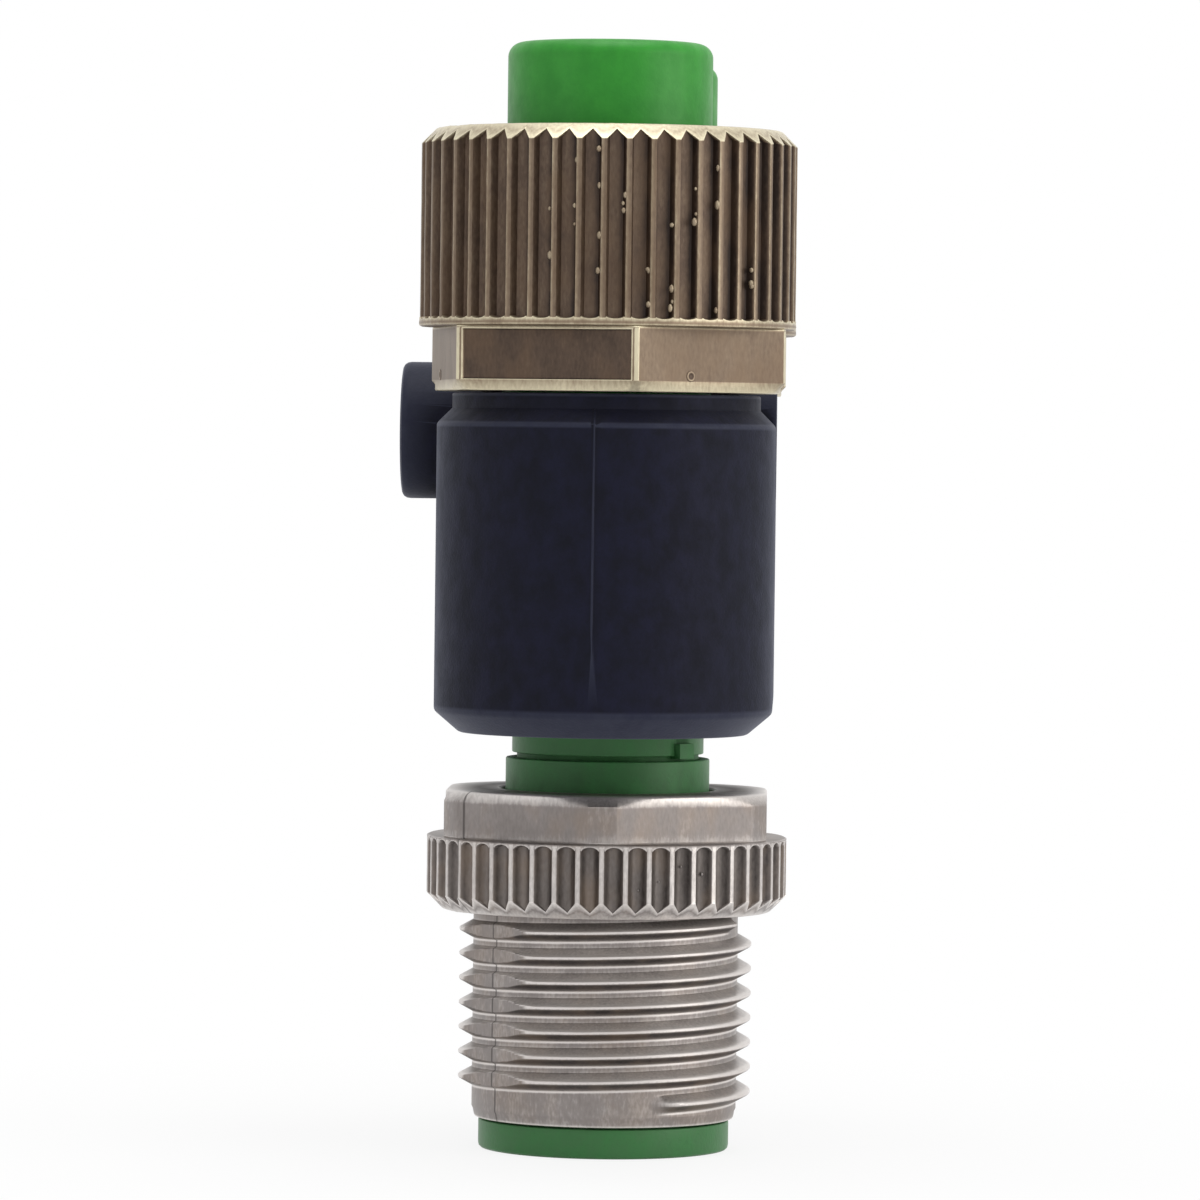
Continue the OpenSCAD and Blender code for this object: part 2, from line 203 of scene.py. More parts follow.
def rounded(path: Sequence[tuple[float, float, float]], steps: int = 3) -> list[Row]:
    """Round the corners of a closed path.

    Args:
        path: Radius, height and corner radius of each point, in order round the loop.
        steps: Facets in each rounded corner.

    Returns:
        Rows for lathe.
    """
    rows: list[Row] = []
    for k, (x, z, size) in enumerate(path):
        here = Vector((x, z))
        if size <= 0:
            rows.append((x, z, PLAIN))
            continue
        before = Vector(path[k - 1][:2]) - here
        after = Vector(path[(k + 1) % len(path)][:2]) - here
        start = here + before.normalized() * min(size, before.length * 0.49)
        end = here + after.normalized() * min(size, after.length * 0.49)
        for i in range(steps + 1):
            t = i / steps
            point = start * (1 - t) ** 2 + here * 2 * t * (1 - t) + end * t ** 2
            rows.append((point.x, point.y, RUBBED_AND_HIGHLIGHT if 0 < i < steps else (PLAIN + RUBBED_AND_HIGHLIGHT) / 2))
    return rows


def make_mesh(name: str, shell: Shell, outwards: bool = True) -> bpy.types.Mesh:
    """Turn a shell into a mesh in metres.

    Args:
        name: Name of the mesh.
        shell: The surface in millimetres.
        outwards: Whether its faces are turned outwards, which a closed shell needs.

    Returns:
        The mesh, with its wear attribute.
    """
    mesh = bpy.data.meshes.new(name)
    mesh.from_pydata([tuple(c * MM for c in p) for p in shell.points], [], shell.faces)
    layer = mesh.attributes.new(WEAR_AND_LIGHT, "FLOAT", "POINT")
    layer.data.foreach_set("value", shell.wear)
    if outwards:
        point_outwards(mesh)
    return mesh


def point_outwards(mesh: bpy.types.Mesh) -> None:
    """Merge doubled corners and turn all faces of a closed mesh outwards.

    Args:
        mesh: Closed mesh whose faces are turned.
    """
    work = bmesh.new()
    work.from_mesh(mesh)
    bmesh.ops.remove_doubles(work, verts=work.verts, dist=WELD * MM)
    bmesh.ops.dissolve_degenerate(work, edges=work.edges, dist=WELD * MM / 5)
    bmesh.ops.recalc_face_normals(work, faces=work.faces)
    work.to_mesh(mesh)
    work.free()


def to_shell(mesh: bpy.types.Mesh) -> Shell:
    """Read a mesh back as a shell in millimetres.

    Args:
        mesh: Mesh that is read.

    Returns:
        Its corners, faces and wear.
    """
    layer = mesh.attributes.get(WEAR_AND_LIGHT)
    wear = [PLAIN] * len(mesh.vertices)
    if layer is not None:
        layer.data.foreach_get("value", wear)
    points = [tuple(vertex.co / MM) for vertex in mesh.vertices]
    return Shell(points, [tuple(face.vertices) for face in mesh.polygons], wear)


def read_out(mesh: bpy.types.Mesh) -> Shell:
    """Read a mesh back as a shell and remove the mesh."""
    shell = to_shell(mesh)
    bpy.data.meshes.remove(mesh)
    return shell


def make_object(name: str, mesh: bpy.types.Mesh) -> bpy.types.Object:
    """Link a mesh to the scene as an object at the origin."""
    obj = bpy.data.objects.new(name, mesh)
    bpy.context.scene.collection.objects.link(obj)
    return obj


def joined(name: str, shells: Iterable[Shell], offset: Point = (0, 0, 0)) -> bpy.types.Object:
    """Join closed shells in one object, each with its faces turned outwards first.

    Args:
        name: Name of the object.
        shells: Closed shells in millimetres.
        offset: Place of the shells' axis in millimetres.

    Returns:
        The object, at the origin, with its place in its mesh.
    """
    total = Shell()
    for shell in shells:
        total.add(read_out(make_mesh(name + "_part", shell)).moved(offset))
    return make_object(name, make_mesh(name, total, outwards=False))


def evaluated_mesh(obj: bpy.types.Object) -> bpy.types.Mesh:
    """Return the mesh that an object's modifiers give, as plain data."""
    graph = bpy.context.evaluated_depsgraph_get()
    return bpy.data.meshes.new_from_object(obj.evaluated_get(graph), preserve_all_data_layers=True,
                                           depsgraph=graph)


def discard(obj: bpy.types.Object) -> None:
    """Remove a helper object and its mesh."""
    mesh = obj.data
    bpy.data.objects.remove(obj)
    bpy.data.meshes.remove(mesh)


class Cut(Enum):
    """What a second solid does to the first one."""

    REMOVE = "DIFFERENCE"
    JOIN = "UNION"


def combine(target: bpy.types.Object, tool: Shell, how: Cut) -> None:
    """Cut a shell from an object or join it to the object.

    Args:
        target: The object that changes.
        tool: A closed shell in millimetres.
        how: Whether the shell is removed or joined.
    """
    helper = make_object("cutter", make_mesh("cutter", tool))
    modifier = target.modifiers.new("combine", "BOOLEAN")
    modifier.operation = how.value
    modifier.solver = "EXACT"
    modifier.object = helper
    mesh = evaluated_mesh(target)
    target.modifiers.clear()
    old, name = target.data, target.data.name
    target.data = mesh
    bpy.data.meshes.remove(old)
    mesh.name = name
    discard(helper)


def box_shell(lowest: Point, highest: Point) -> Shell:
    """Return a closed box between two corners.

    Args:
        lowest: Lowest corner.
        highest: Highest corner.

    Returns:
        The closed box.
    """
    points = [(x, y, z) for x in (lowest[0], highest[0]) for y in (lowest[1], highest[1])
              for z in (lowest[2], highest[2])]
    faces = [(0, 1, 3, 2), (4, 6, 7, 5), (0, 4, 5, 1), (2, 3, 7, 6), (0, 2, 6, 4), (1, 5, 7, 3)]
    return Shell(points, faces, [PLAIN] * len(points))


def rod(radius: float, start: float, end: float, segments: int) -> Shell:
    """Return a closed cylinder on the Z axis between two heights."""
    return lathe([(0, start, PLAIN), (radius, start, PLAIN), (radius, end, PLAIN), (0, end, PLAIN)],
                 segments, closed_path=False)


def mark_edges(obj: bpy.types.Object, angle: float) -> None:
    """Set the wear attribute from the shape: high on convex edges, low in inner corners.

    Args:
        obj: The object whose mesh is marked.
        angle: Least angle between two faces that counts as an edge, in degrees.
    """
    mesh = obj.data
    work = bmesh.new()
    work.from_mesh(mesh)
    values = [PLAIN] * len(work.verts)
    work.verts.index_update()
    for edge in work.edges:
        if len(edge.link_faces) != 2:
            continue
        turn = edge.calc_face_angle_signed(0.0)
        if abs(turn) > math.radians(angle):
            for vert in edge.verts:
                values[vert.index] = RUBBED_AND_HIGHLIGHT if turn > 0 else min(values[vert.index], INNER_CORNER)
    work.free()
    layer = mesh.attributes.get(WEAR_AND_LIGHT) or mesh.attributes.new(WEAR_AND_LIGHT, "FLOAT", "POINT")
    layer.data.foreach_set("value", values)


def shade(obj: bpy.types.Object, angle: float) -> None:
    """Shade an object smoothly between faces that meet under an angle in degrees."""
    mesh = obj.data
    mesh.polygons.foreach_set("use_smooth", [True] * len(mesh.polygons))
    mesh.set_sharp_from_angle(angle=math.radians(angle))


def dress(obj: bpy.types.Object, material: bpy.types.Material) -> None:
    """Give an object one material."""
    obj.data.materials.clear()
    obj.data.materials.append(material)


# ---------------------------------------------------------------- node trees


class Graph:
    """Small helper that adds and links nodes in one tree."""

    def __init__(self, tree: bpy.types.NodeTree) -> None:
        """Keep the tree that nodes are added to."""
        self.tree = tree

    def add(self, kind: str, inputs: Optional[dict[Union[str, int], Input]] = None,
            **settings: object) -> bpy.types.Node:
        """Add a node.

        Args:
            kind: Node type.
            inputs: Values or sockets by input name or number.
            settings: Properties of the node.

        Returns:
            The new node.
        """
        node = self.tree.nodes.new(kind)
        for key, value in settings.items():
            setattr(node, key, value)
        for key, value in (inputs or {}).items():
            self.plug(node.inputs[key], value)
        return node

    def plug(self, socket: bpy.types.NodeSocket, value: Input) -> None:
        """Link a socket or set its value.

        Args:
            socket: Input socket of a node.
            value: Another node's socket, or a plain value.
        """
        if isinstance(value, bpy.types.NodeSocket):
            self.tree.links.new(value, socket)
        elif isinstance(value, tuple) and socket.type == "RGBA" and len(value) == 3:
            socket.default_value = (*value, 1.0)
        else:
            socket.default_value = value

    def math(self, operation: str, a: Input, b: Input = 0.0, c: Input = 0.0,
             clamp: bool = False) -> bpy.types.NodeSocket:
        """Add a Math node and return its result."""
        node = self.add("ShaderNodeMath", {0: a, 1: b, 2: c}, operation=operation, use_clamp=clamp)
        return node.outputs[0]

    def swing(self, value: Input, width: Input) -> bpy.types.NodeSocket:
        """Return how far a value lies from one half, times a width."""
        return self.math("MULTIPLY", self.math("SUBTRACT", value, 0.5), width)

    def vector_math(self, operation: str, a: Input, b: Input = (0, 0, 0),
                    output: str = "Vector") -> bpy.types.NodeSocket:
        """Add a Vector Math node and return one of its results."""
        node = self.add("ShaderNodeVectorMath", {0: a, 1: b}, operation=operation)
        return node.outputs[output]

    def split(self, vector: Input) -> tuple[bpy.types.NodeSocket, ...]:
        """Return the three parts of a vector."""
        return tuple(self.add("ShaderNodeSeparateXYZ", {0: vector}).outputs)

    def ramp(self, value: Input, stops: Sequence[tuple[float, Colour]]) -> bpy.types.NodeSocket:
        """Colour a value by stops of position and colour.

        Args:
            value: Place on the ramp, from 0 to 1.
            stops: Place and colour of each stop.

        Returns:
            The colour.
        """
        node = self.add("ShaderNodeValToRGB", {0: value})
        band = node.color_ramp
        for position, colour in stops[1:-1]:
            band.elements.new(position)
        for element, (position, colour) in zip(band.elements, stops):
            element.position = position
            element.color = (*colour, 1.0)
        return node.outputs[0]

    def join(self, x: Input, y: Input, z: Input) -> bpy.types.NodeSocket:
        """Return a vector made of three parts."""
        return self.add("ShaderNodeCombineXYZ", {0: x, 1: y, 2: z}).outputs[0]

    def scale(self, vector: Input, factor: Input) -> bpy.types.NodeSocket:
        """Return a vector times a number."""
        return self.add("ShaderNodeVectorMath", {0: vector, "Scale": factor}, operation="SCALE").outputs[0]

    def store_wear(self, geometry: Input, wear: Input) -> bpy.types.NodeSocket:
        """Store the wear of each corner of a geometry."""
        return self.add("GeometryNodeStoreNamedAttribute",
                        {"Geometry": geometry, "Name": WEAR_AND_LIGHT, "Value": wear},
                        data_type="FLOAT", domain="POINT").outputs[0]


class Pattern:
    """A rule that grows a shell from a seed, as a geometry node tree with named inputs.

    NAME is the tree's name. INPUTS gives the socket type of each input but the geometry and the finish.
    """

    NAME: str
    INPUTS: dict[str, str]

    def __init__(self) -> None:
        """Build the tree."""
        self.tree = bpy.data.node_groups.new(self.NAME, "GeometryNodeTree")
        add_socket = self.tree.interface.new_socket
        add_socket("Geometry", in_out="OUTPUT", socket_type="NodeSocketGeometry")
        for name, kind in {"Geometry": "NodeSocketGeometry", **self.INPUTS, "Finish": STUFF}.items():
            add_socket(name, in_out="INPUT", socket_type=kind)
        g = Graph(self.tree)
        given = g.add("NodeGroupInput").outputs
        solid = g.add("GeometryNodeRealizeInstances", {0: self.rule(g, given)}).outputs[0]
        done = g.add("GeometryNodeSetMaterial", {"Geometry": solid, "Material": given["Finish"]}).outputs[0]
        g.add("NodeGroupOutput", {0: done})

    def rule(self, g: Graph, given: Sockets) -> bpy.types.NodeSocket:
        """Add the rule's nodes.

        Args:
            g: The tree that gets them.
            given: The tree's inputs.

        Returns:
            The geometry that they make.
        """
        raise NotImplementedError

    def run(self, seed: Shell, finish: bpy.types.Material, values: dict[str, object]) -> Shell:
        """Run the rule on a seed.

        Args:
            seed: The shell that the rule starts from.
            finish: Material of the result.
            values: Value of each input by its name.

        Returns:
            The grown shell, with nothing left of the modifier.
        """
        obj = make_object("seed", make_mesh("seed", seed, outwards=False))
        modifier = obj.modifiers.new("rule", "NODES")
        modifier.node_group = self.tree
        sockets = {item.name: item.identifier for item in self.tree.interface.items_tree
                   if item.item_type == "SOCKET" and item.in_out == "INPUT"}
        for name, value in {**values, "Finish": finish}.items():
            modifier[sockets[name]] = value
        obj.update_tag()
        mesh = evaluated_mesh(obj)
        obj.modifiers.remove(modifier)
        discard(obj)
        return read_out(mesh)


class RingPattern(Pattern):
    """Repeats one sector round the axis, welds it and adds casting flaws.

    FAR_SHARE is the share of the flaws' depth that is left away from their side.
    """

    NAME = "ring_pattern"
    INPUTS = {"Count": WHOLE, "Weld": NUMBER, "Flaw Depth": NUMBER, "Flaw Scale": NUMBER,
              "Flaw Side": ARROW, "Flaw Spread": NUMBER, "Seed": NUMBER}
    FAR_SHARE = 0.2

    def rule(self, g: Graph, given: Sockets) -> bpy.types.NodeSocket:
        """Add the rule's nodes and return the ring.

        Args:
            g: Graph that takes the nodes.
            given: The pattern's inputs by name.

        Returns:
            The ring.
        """
        points = g.add("GeometryNodePoints", {"Count": given["Count"]}).outputs[0]
        step = g.math("DIVIDE", 2 * math.pi, given["Count"])
        turn = g.math("MULTIPLY", g.add("GeometryNodeInputIndex").outputs[0], step)
        ring = g.add("GeometryNodeInstanceOnPoints",
                     {"Points": points, "Instance": given["Geometry"], "Rotation": g.join(0.0, 0.0, turn)})
        solid = g.add("GeometryNodeRealizeInstances", {0: ring.outputs[0]}).outputs[0]
        welded = g.add("GeometryNodeMergeByDistance",
                       {"Geometry": solid, "Distance": given["Weld"]}).outputs[0]
        place = g.add("GeometryNodeInputPosition").outputs[0]
        flat = g.vector_math("NORMALIZE", g.vector_math("MULTIPLY", place, (1, 1, 0)))
        facing = g.vector_math("DOT_PRODUCT", flat, given["Flaw Side"], output="Value")
        limit = g.math("SUBTRACT", 1.0, given["Flaw Spread"])
        side = g.add("ShaderNodeMapRange", {"Value": facing, "From Min": limit, "From Max": 1.0,
                                            "To Min": self.FAR_SHARE, "To Max": 1.0})
        noise = g.add("ShaderNodeTexNoise",
                      {"Vector": place, "W": given["Seed"], "Scale": given["Flaw Scale"], "Detail": 2.0},
                      noise_dimensions="4D").outputs[0]
        depth = g.math("MULTIPLY", g.swing(noise, given["Flaw Depth"]), side.outputs[0])
        shift = g.scale(g.add("GeometryNodeInputNormal").outputs[0], depth)
        return g.add("GeometryNodeSetPosition", {"Geometry": welded, "Offset": shift}).outputs[0]

    def grow(self, sector: Shell, count: int, finish: bpy.types.Material, flaw_depth: float = 0.0,
             flaw_size: float = 0.5, flaw_angle: float = FRONT, flaw_spread: float = 0.2,
             seed: float = 1.0) -> Shell:
        """Repeat a sector.

        Args:
            sector: Open sector that spans a whole share of the circle.
            count: Number of sectors.
            finish: Material of the result.
            flaw_depth: Height of the flaws in millimetres.
            flaw_size: Size of the flaws in millimetres.
            flaw_angle: Direction in which the flaws are deepest, in degrees.
            flaw_spread: How far round they stay deep, as one minus a cosine.
            seed: Seed of the flaws.

        Returns:
            The closed ring.
        """
        return self.run(sector, finish, {
            "Count": count, "Weld": WELD * MM, "Flaw Depth": flaw_depth * MM,
            "Flaw Scale": 1 / (flaw_size * MM), "Flaw Side": polar(1.0, flaw_angle, 0.0),
            "Flaw Spread": flaw_spread, "Seed": seed})


class ThreadPattern(Pattern):
    """Wraps a grid into a screw thread whose rows follow the helix.

    The stops give the wear and painted light across one turn, from the groove under a ridge to the
    groove over it: a painted highlight at the foot, painted shade below the ridge where the lower flank
    lies in shadow, a rubbed ridge with a painted highlight and an upper flank painted lighter against
    its shade. PLAIN_WEAR is the wear where there is no ridge. HALF_FOOT is half the width of a
    ridge's foot and FLANK the width of one flank, both as shares of the pitch.
    """

    NAME = "thread_pattern"
    INPUTS = {"Columns": WHOLE, "Rows": WHOLE, "Rows per Turn": NUMBER, "Flat Side": ARROW,
              **dict.fromkeys(("Pitch", "Base", "Phase", "Low", "High", "Crest", "Root", "Start", "End",
                               "Ramp", "Flat", "Polish"), NUMBER)}
    ROWS_PER_TURN = 24
    COLUMNS = 144
    # Wear and painted light across one turn: painted highlights at the foot and on the ridge, painted shade
    # below the ridge.
    WEAR_AND_LIGHT_STOPS = ((0.0, 0.60), (0.04, 0.66), (0.08, 1.05), (0.14, 1.0), (0.20, 0.45), (0.28, 0.10),
                  (0.40, 0.08), (0.46, 0.90), (0.57, 1.1), (0.66, 0.84), (0.84, 0.74), (1.0, 0.60))
    PLAIN_WEAR = 0.62
    HALF_FOOT, FLANK = 3 / 8, 5 / 16

    def rule(self, g: Graph, given: Sockets) -> bpy.types.NodeSocket:
        """Add the rule's nodes and return the threaded surface.

        Args:
            g: Graph that takes the nodes.
            given: The pattern's inputs by name.

        Returns:
            The threaded surface.
        """
        grid = g.add("GeometryNodeMeshGrid", {"Size X": 1.0, "Size Y": 1.0,
                                              "Vertices X": g.math("ADD", given["Columns"], 1.0),
                                              "Vertices Y": given["Rows"]}).outputs["Mesh"]
        across, along, _ = g.split(g.add("GeometryNodeInputPosition").outputs[0])
        share = g.math("ADD", across, 0.5)
        rise = g.math("DIVIDE", g.math("MULTIPLY", g.math("ADD", along, 0.5),
                                       g.math("SUBTRACT", given["Rows"], 1.0)), given["Rows per Turn"])
        raw = g.math("MULTIPLY_ADD", g.math("ADD", rise, share), given["Pitch"], given["Base"])
        height = g.math("MINIMUM", g.math("MAXIMUM", raw, given["Low"]), given["High"])
        turn = g.math("MULTIPLY", share, 2 * math.pi)
        turns = g.math("DIVIDE", g.math("SUBTRACT", raw, given["Phase"]), given["Pitch"])
        lead = g.math("SUBTRACT", turns, share)
        ridge = g.math("ROUND", lead)
        offset = g.math("SUBTRACT", lead, ridge)
        within = g.math("SUBTRACT", self.HALF_FOOT, g.math("ABSOLUTE", offset))
        flank = g.math("DIVIDE", within, self.FLANK, clamp=True)
        progress = g.math("ADD", ridge, share)
        begin = g.math("DIVIDE", g.math("SUBTRACT", progress, given["Start"]), given["Ramp"], clamp=True)
        stop = g.math("DIVIDE", g.math("SUBTRACT", given["End"], progress), given["Ramp"], clamp=True)
        present = g.math("MULTIPLY", begin, stop)
        form = g.math("MULTIPLY", flank, present)
        depth = g.math("SUBTRACT", given["Crest"], given["Root"])
        radius = g.math("MULTIPLY_ADD", depth, form, given["Root"])
        outward = g.join(g.math("COSINE", turn), g.math("SINE", turn), 0.0)
        facing = g.vector_math("DOT_PRODUCT", outward, given["Flat Side"], output="Value")
        plane = g.math("DIVIDE", given["Flat"], g.math("MAXIMUM", g.math("ABSOLUTE", facing), 0.01))
        cut = g.math("MINIMUM", radius, plane)
        marked = g.math("MULTIPLY", present, g.math("LESS_THAN", radius, plane))
        # This ramp carries the thread's painted highlights and shade into the wear attribute.
        stops = [(position, (polish,) * 3) for position, polish in self.WEAR_AND_LIGHT_STOPS]
        band = g.ramp(g.math("ADD", offset, 0.5), stops)
        wear = g.math("MULTIPLY_ADD", g.math("SUBTRACT", band, self.PLAIN_WEAR), marked, self.PLAIN_WEAR)
        wrapped = g.vector_math("ADD", g.scale(outward, cut), g.join(0.0, 0.0, height))
        stored = g.store_wear(grid, g.math("MULTIPLY", wear, given["Polish"]))
        moved = g.add("GeometryNodeSetPosition", {"Geometry": stored, "Position": wrapped}).outputs[0]
        return g.add("GeometryNodeMergeByDistance", {"Geometry": moved, "Distance": WELD * MM}).outputs[0]

    def grow(self, thread: "Thread", finish: bpy.types.Material) -> Shell:
        """Make the open threaded tube.

        Args:
            thread: Sizes of the thread.
            finish: Material of the result.

        Returns:
            The surface between the thread's low and high ends.
        """
        below = math.ceil((thread.phase - thread.low) / thread.pitch) + 1
        base = thread.phase - below * thread.pitch
        rows = math.ceil((thread.high - base) / thread.pitch) * self.ROWS_PER_TURN + 1
        lengths = {"Pitch": thread.pitch, "Base": base, "Phase": thread.phase, "Low": thread.low,
                   "High": thread.high, "Crest": thread.crest, "Root": thread.root, "Flat": thread.flat}
        return self.run(Shell(), finish, {
            "Columns": self.COLUMNS, "Rows": rows, "Rows per Turn": float(self.ROWS_PER_TURN),
            **{name: value * MM for name, value in lengths.items()}, "Start": thread.start,
            "End": thread.end, "Ramp": thread.ramp, "Polish": thread.polish,
            "Flat Side": polar(1.0, thread.flat_angle, 0.0)})


@dataclass(frozen=True)
class Thread:
    """Sizes of a screw thread.

    Args:
        low: Height where the threaded surface begins.
        high: Height where it ends.
        crest: Radius of the ridges.
        root: Radius of the grooves.
        phase: Height of a ridge on the +X side.
        start: Turns after that ridge at which the thread begins.
        end: Turns after that ridge at which the thread ends.
        pitch: Height of one turn.
        ramp: Turns over which the ridge rises at its ends.
        flat: Distance of the parting flats from the axis. A large value leaves them out.
        flat_angle: Direction of the parting flats.
        polish: Share of the wear and painted light that the thread shows.
    """

    low: float
    high: float
    crest: float
    root: float
    phase: float
    start: float
    end: float
    pitch: float = 1.0
    ramp: float = 0.06
    flat: float = 50.0
    flat_angle: float = 0.0
    polish: float = 1.0


class CirclePattern(Pattern):
    """Sets copies of one contact on a circle."""

    NAME = "circle_pattern"
    INPUTS = {"Count": WHOLE, "Radius": NUMBER, "First Angle": NUMBER}

    def rule(self, g: Graph, given: Sockets) -> bpy.types.NodeSocket:
        """Add the rule's nodes and return the copies.

        Args:
            g: Graph that takes the nodes.
            given: The pattern's inputs by name.

        Returns:
            The copies.
        """
        index = g.add("GeometryNodeInputIndex").outputs[0]
        step = g.math("DIVIDE", 2 * math.pi, given["Count"])
        turn = g.math("MULTIPLY_ADD", index, step, given["First Angle"])
        place = g.join(g.math("MULTIPLY", g.math("COSINE", turn), given["Radius"]),
                       g.math("MULTIPLY", g.math("SINE", turn), given["Radius"]), 0.0)
        points = g.add("GeometryNodePoints", {"Count": given["Count"], "Position": place}).outputs[0]
        return g.add("GeometryNodeInstanceOnPoints",
                     {"Points": points, "Instance": given["Geometry"]}).outputs[0]

    def grow(self, contact: Shell, count: int, radius: float, finish: bpy.types.Material) -> Shell:
        """Set a contact's copies on a circle.

        Args:
            contact: One contact on the Z axis.
            count: Number of contacts.
            radius: Radius of the circle in millimetres.
            finish: Material of the contacts.

        Returns:
            All the contacts.
        """
        return self.run(read_out(make_mesh("contact", contact)), finish,
                        {"Count": count, "Radius": radius * MM, "First Angle": math.pi / count})


class BeadPattern(Pattern):
    """Scatters casting beads over strips.

    SPREAD is how much smaller the smallest bead is, and STRETCH the height of the tallest one.
    """

    NAME = "bead_pattern"
    INPUTS = {"Density": NUMBER, "Size": NUMBER, "Spread": NUMBER, "Seed": WHOLE}
    BEAD_WEAR = 0.68
    SPREAD, STRETCH = 0.5, 1.8

    def rule(self, g: Graph, given: Sockets) -> bpy.types.NodeSocket:
        """Add the rule's nodes and return the beads.

        Args:
            g: Graph that takes the nodes.
            given: The pattern's inputs by name.

        Returns:
            The beads.
        """
        points = g.add("GeometryNodeDistributePointsOnFaces",
                       {"Mesh": given["Geometry"], "Density": given["Density"], "Seed": given["Seed"]},
                       distribute_method="RANDOM")
        ball = g.add("GeometryNodeMeshIcoSphere", {"Radius": given["Size"], "Subdivisions": 2}).outputs[0]
        smallest = g.math("SUBTRACT", 1.0, given["Spread"])
        size = g.add("FunctionNodeRandomValue", {2: smallest, 3: 1.0, "Seed": given["Seed"]},
                     data_type="FLOAT").outputs[1]
        second_seed = g.math("ADD", given["Seed"], 7.0)
        stretch = g.add("FunctionNodeRandomValue", {2: 1.0, 3: self.STRETCH, "Seed": second_seed},
                        data_type="FLOAT").outputs[1]
        scale = g.join(size, size, g.math("MULTIPLY", size, stretch))
        copies = g.add("GeometryNodeInstanceOnPoints",
                       {"Points": points.outputs[0], "Instance": ball, "Scale": scale}).outputs[0]
        solid = g.add("GeometryNodeRealizeInstances", {0: copies}).outputs[0]
        return g.store_wear(solid, self.BEAD_WEAR)

    def grow(self, strips: Shell, density: float, size: float, seed: int,
             finish: bpy.types.Material) -> Shell:
        """Scatter beads.

        Args:
            strips: Faces that the beads lie on.
            density: Beads on a square millimetre.
            size: Radius of the largest bead in millimetres.
            seed: Seed of the scatter.
            finish: Material of the beads.

        Returns:
            The beads.
        """
        return self.run(strips, finish, {"Density": density / MM ** 2, "Size": size * MM,
                                         "Spread": self.SPREAD, "Seed": seed})


# ---------------------------------------------------------------- finishes


class Surface:
    """Starts a material with a Principled shader on Object coordinates."""

    def __init__(self, name: str) -> None:
        """Create the material and its shader.

        Args:
            name: Name of the material.
        """
        self.material = bpy.data.materials.new(name)
        self.material.use_nodes = True
        tree = self.material.node_tree
        tree.nodes.clear()
        self.g = Graph(tree)
        self.shader = self.g.add("ShaderNodeBsdfPrincipled")
        self.g.add("ShaderNodeOutputMaterial", {0: self.shader.outputs[0]})
        self.place = self.g.add("ShaderNodeTexCoord").outputs["Object"]
        self.wear = self.g.add("ShaderNodeAttribute", attribute_name=WEAR_AND_LIGHT).outputs["Fac"]

    def noise(self, size: float, detail: float = 3.0, stretch: Point = (1, 1, 1),
              roughness: float = 0.5) -> bpy.types.NodeSocket:
        """Return noise whose features have a size in millimetres, stretched along the axes."""
        place = self.g.vector_math("MULTIPLY", self.place, tuple(1 / s for s in stretch))
        return self.g.add("ShaderNodeTexNoise", {"Vector": place, "Scale": 1 / (size * MM),
                                                 "Detail": detail, "Roughness": roughness}).outputs[0]

    def spread(self, value: Input, start: float, end: float, low_value: float = 0.0,
               high_value: float = 1.0) -> bpy.types.NodeSocket:
        """Map a value from one span to another, held at both ends."""
        return self.g.add("ShaderNodeMapRange", {"Value": value, "From Min": start, "From Max": end,
                                                 "To Min": low_value, "To Max": high_value}).outputs[0]

    def mix(self, share: Input, a: Input, b: Input) -> bpy.types.NodeSocket:
        """Mix two colours.

        Args:
            share: Share of the second colour.
            a: First colour.
            b: Second colour.

        Returns:
            The mixed colour.
        """
        node = self.g.add("ShaderNodeMix", data_type="RGBA")
        self.g.plug(node.inputs[0], share)
        self.g.plug(node.inputs[6], a)
        self.g.plug(node.inputs[7], b)
        return node.outputs[2]

    def bump(self, height: Input, depth: float, strength: float = 1.0,
             under: Optional[bpy.types.NodeSocket] = None) -> bpy.types.NodeSocket:
        """Return a normal from a height between 0 and 1 and its depth in millimetres.

        Args:
            height: Height that makes the bump.
            depth: Depth of the bump in millimetres.
            strength: Strength of the bump.
            under: Normal that the bump lies on.

        Returns:
            The normal.
        """
        inputs = {"Height": height, "Distance": depth * MM, "Strength": strength}
        if under is not None:
            inputs["Normal"] = under
        return self.g.add("ShaderNodeBump", inputs).outputs[0]

    def finish(self, **values: Input) -> bpy.types.Material:
        """Set the shader's inputs, with spaces for underscores, and return the material."""
        for name, value in values.items():
            self.g.plug(self.shader.inputs[name.replace("_", " ")], value)
        return self.material


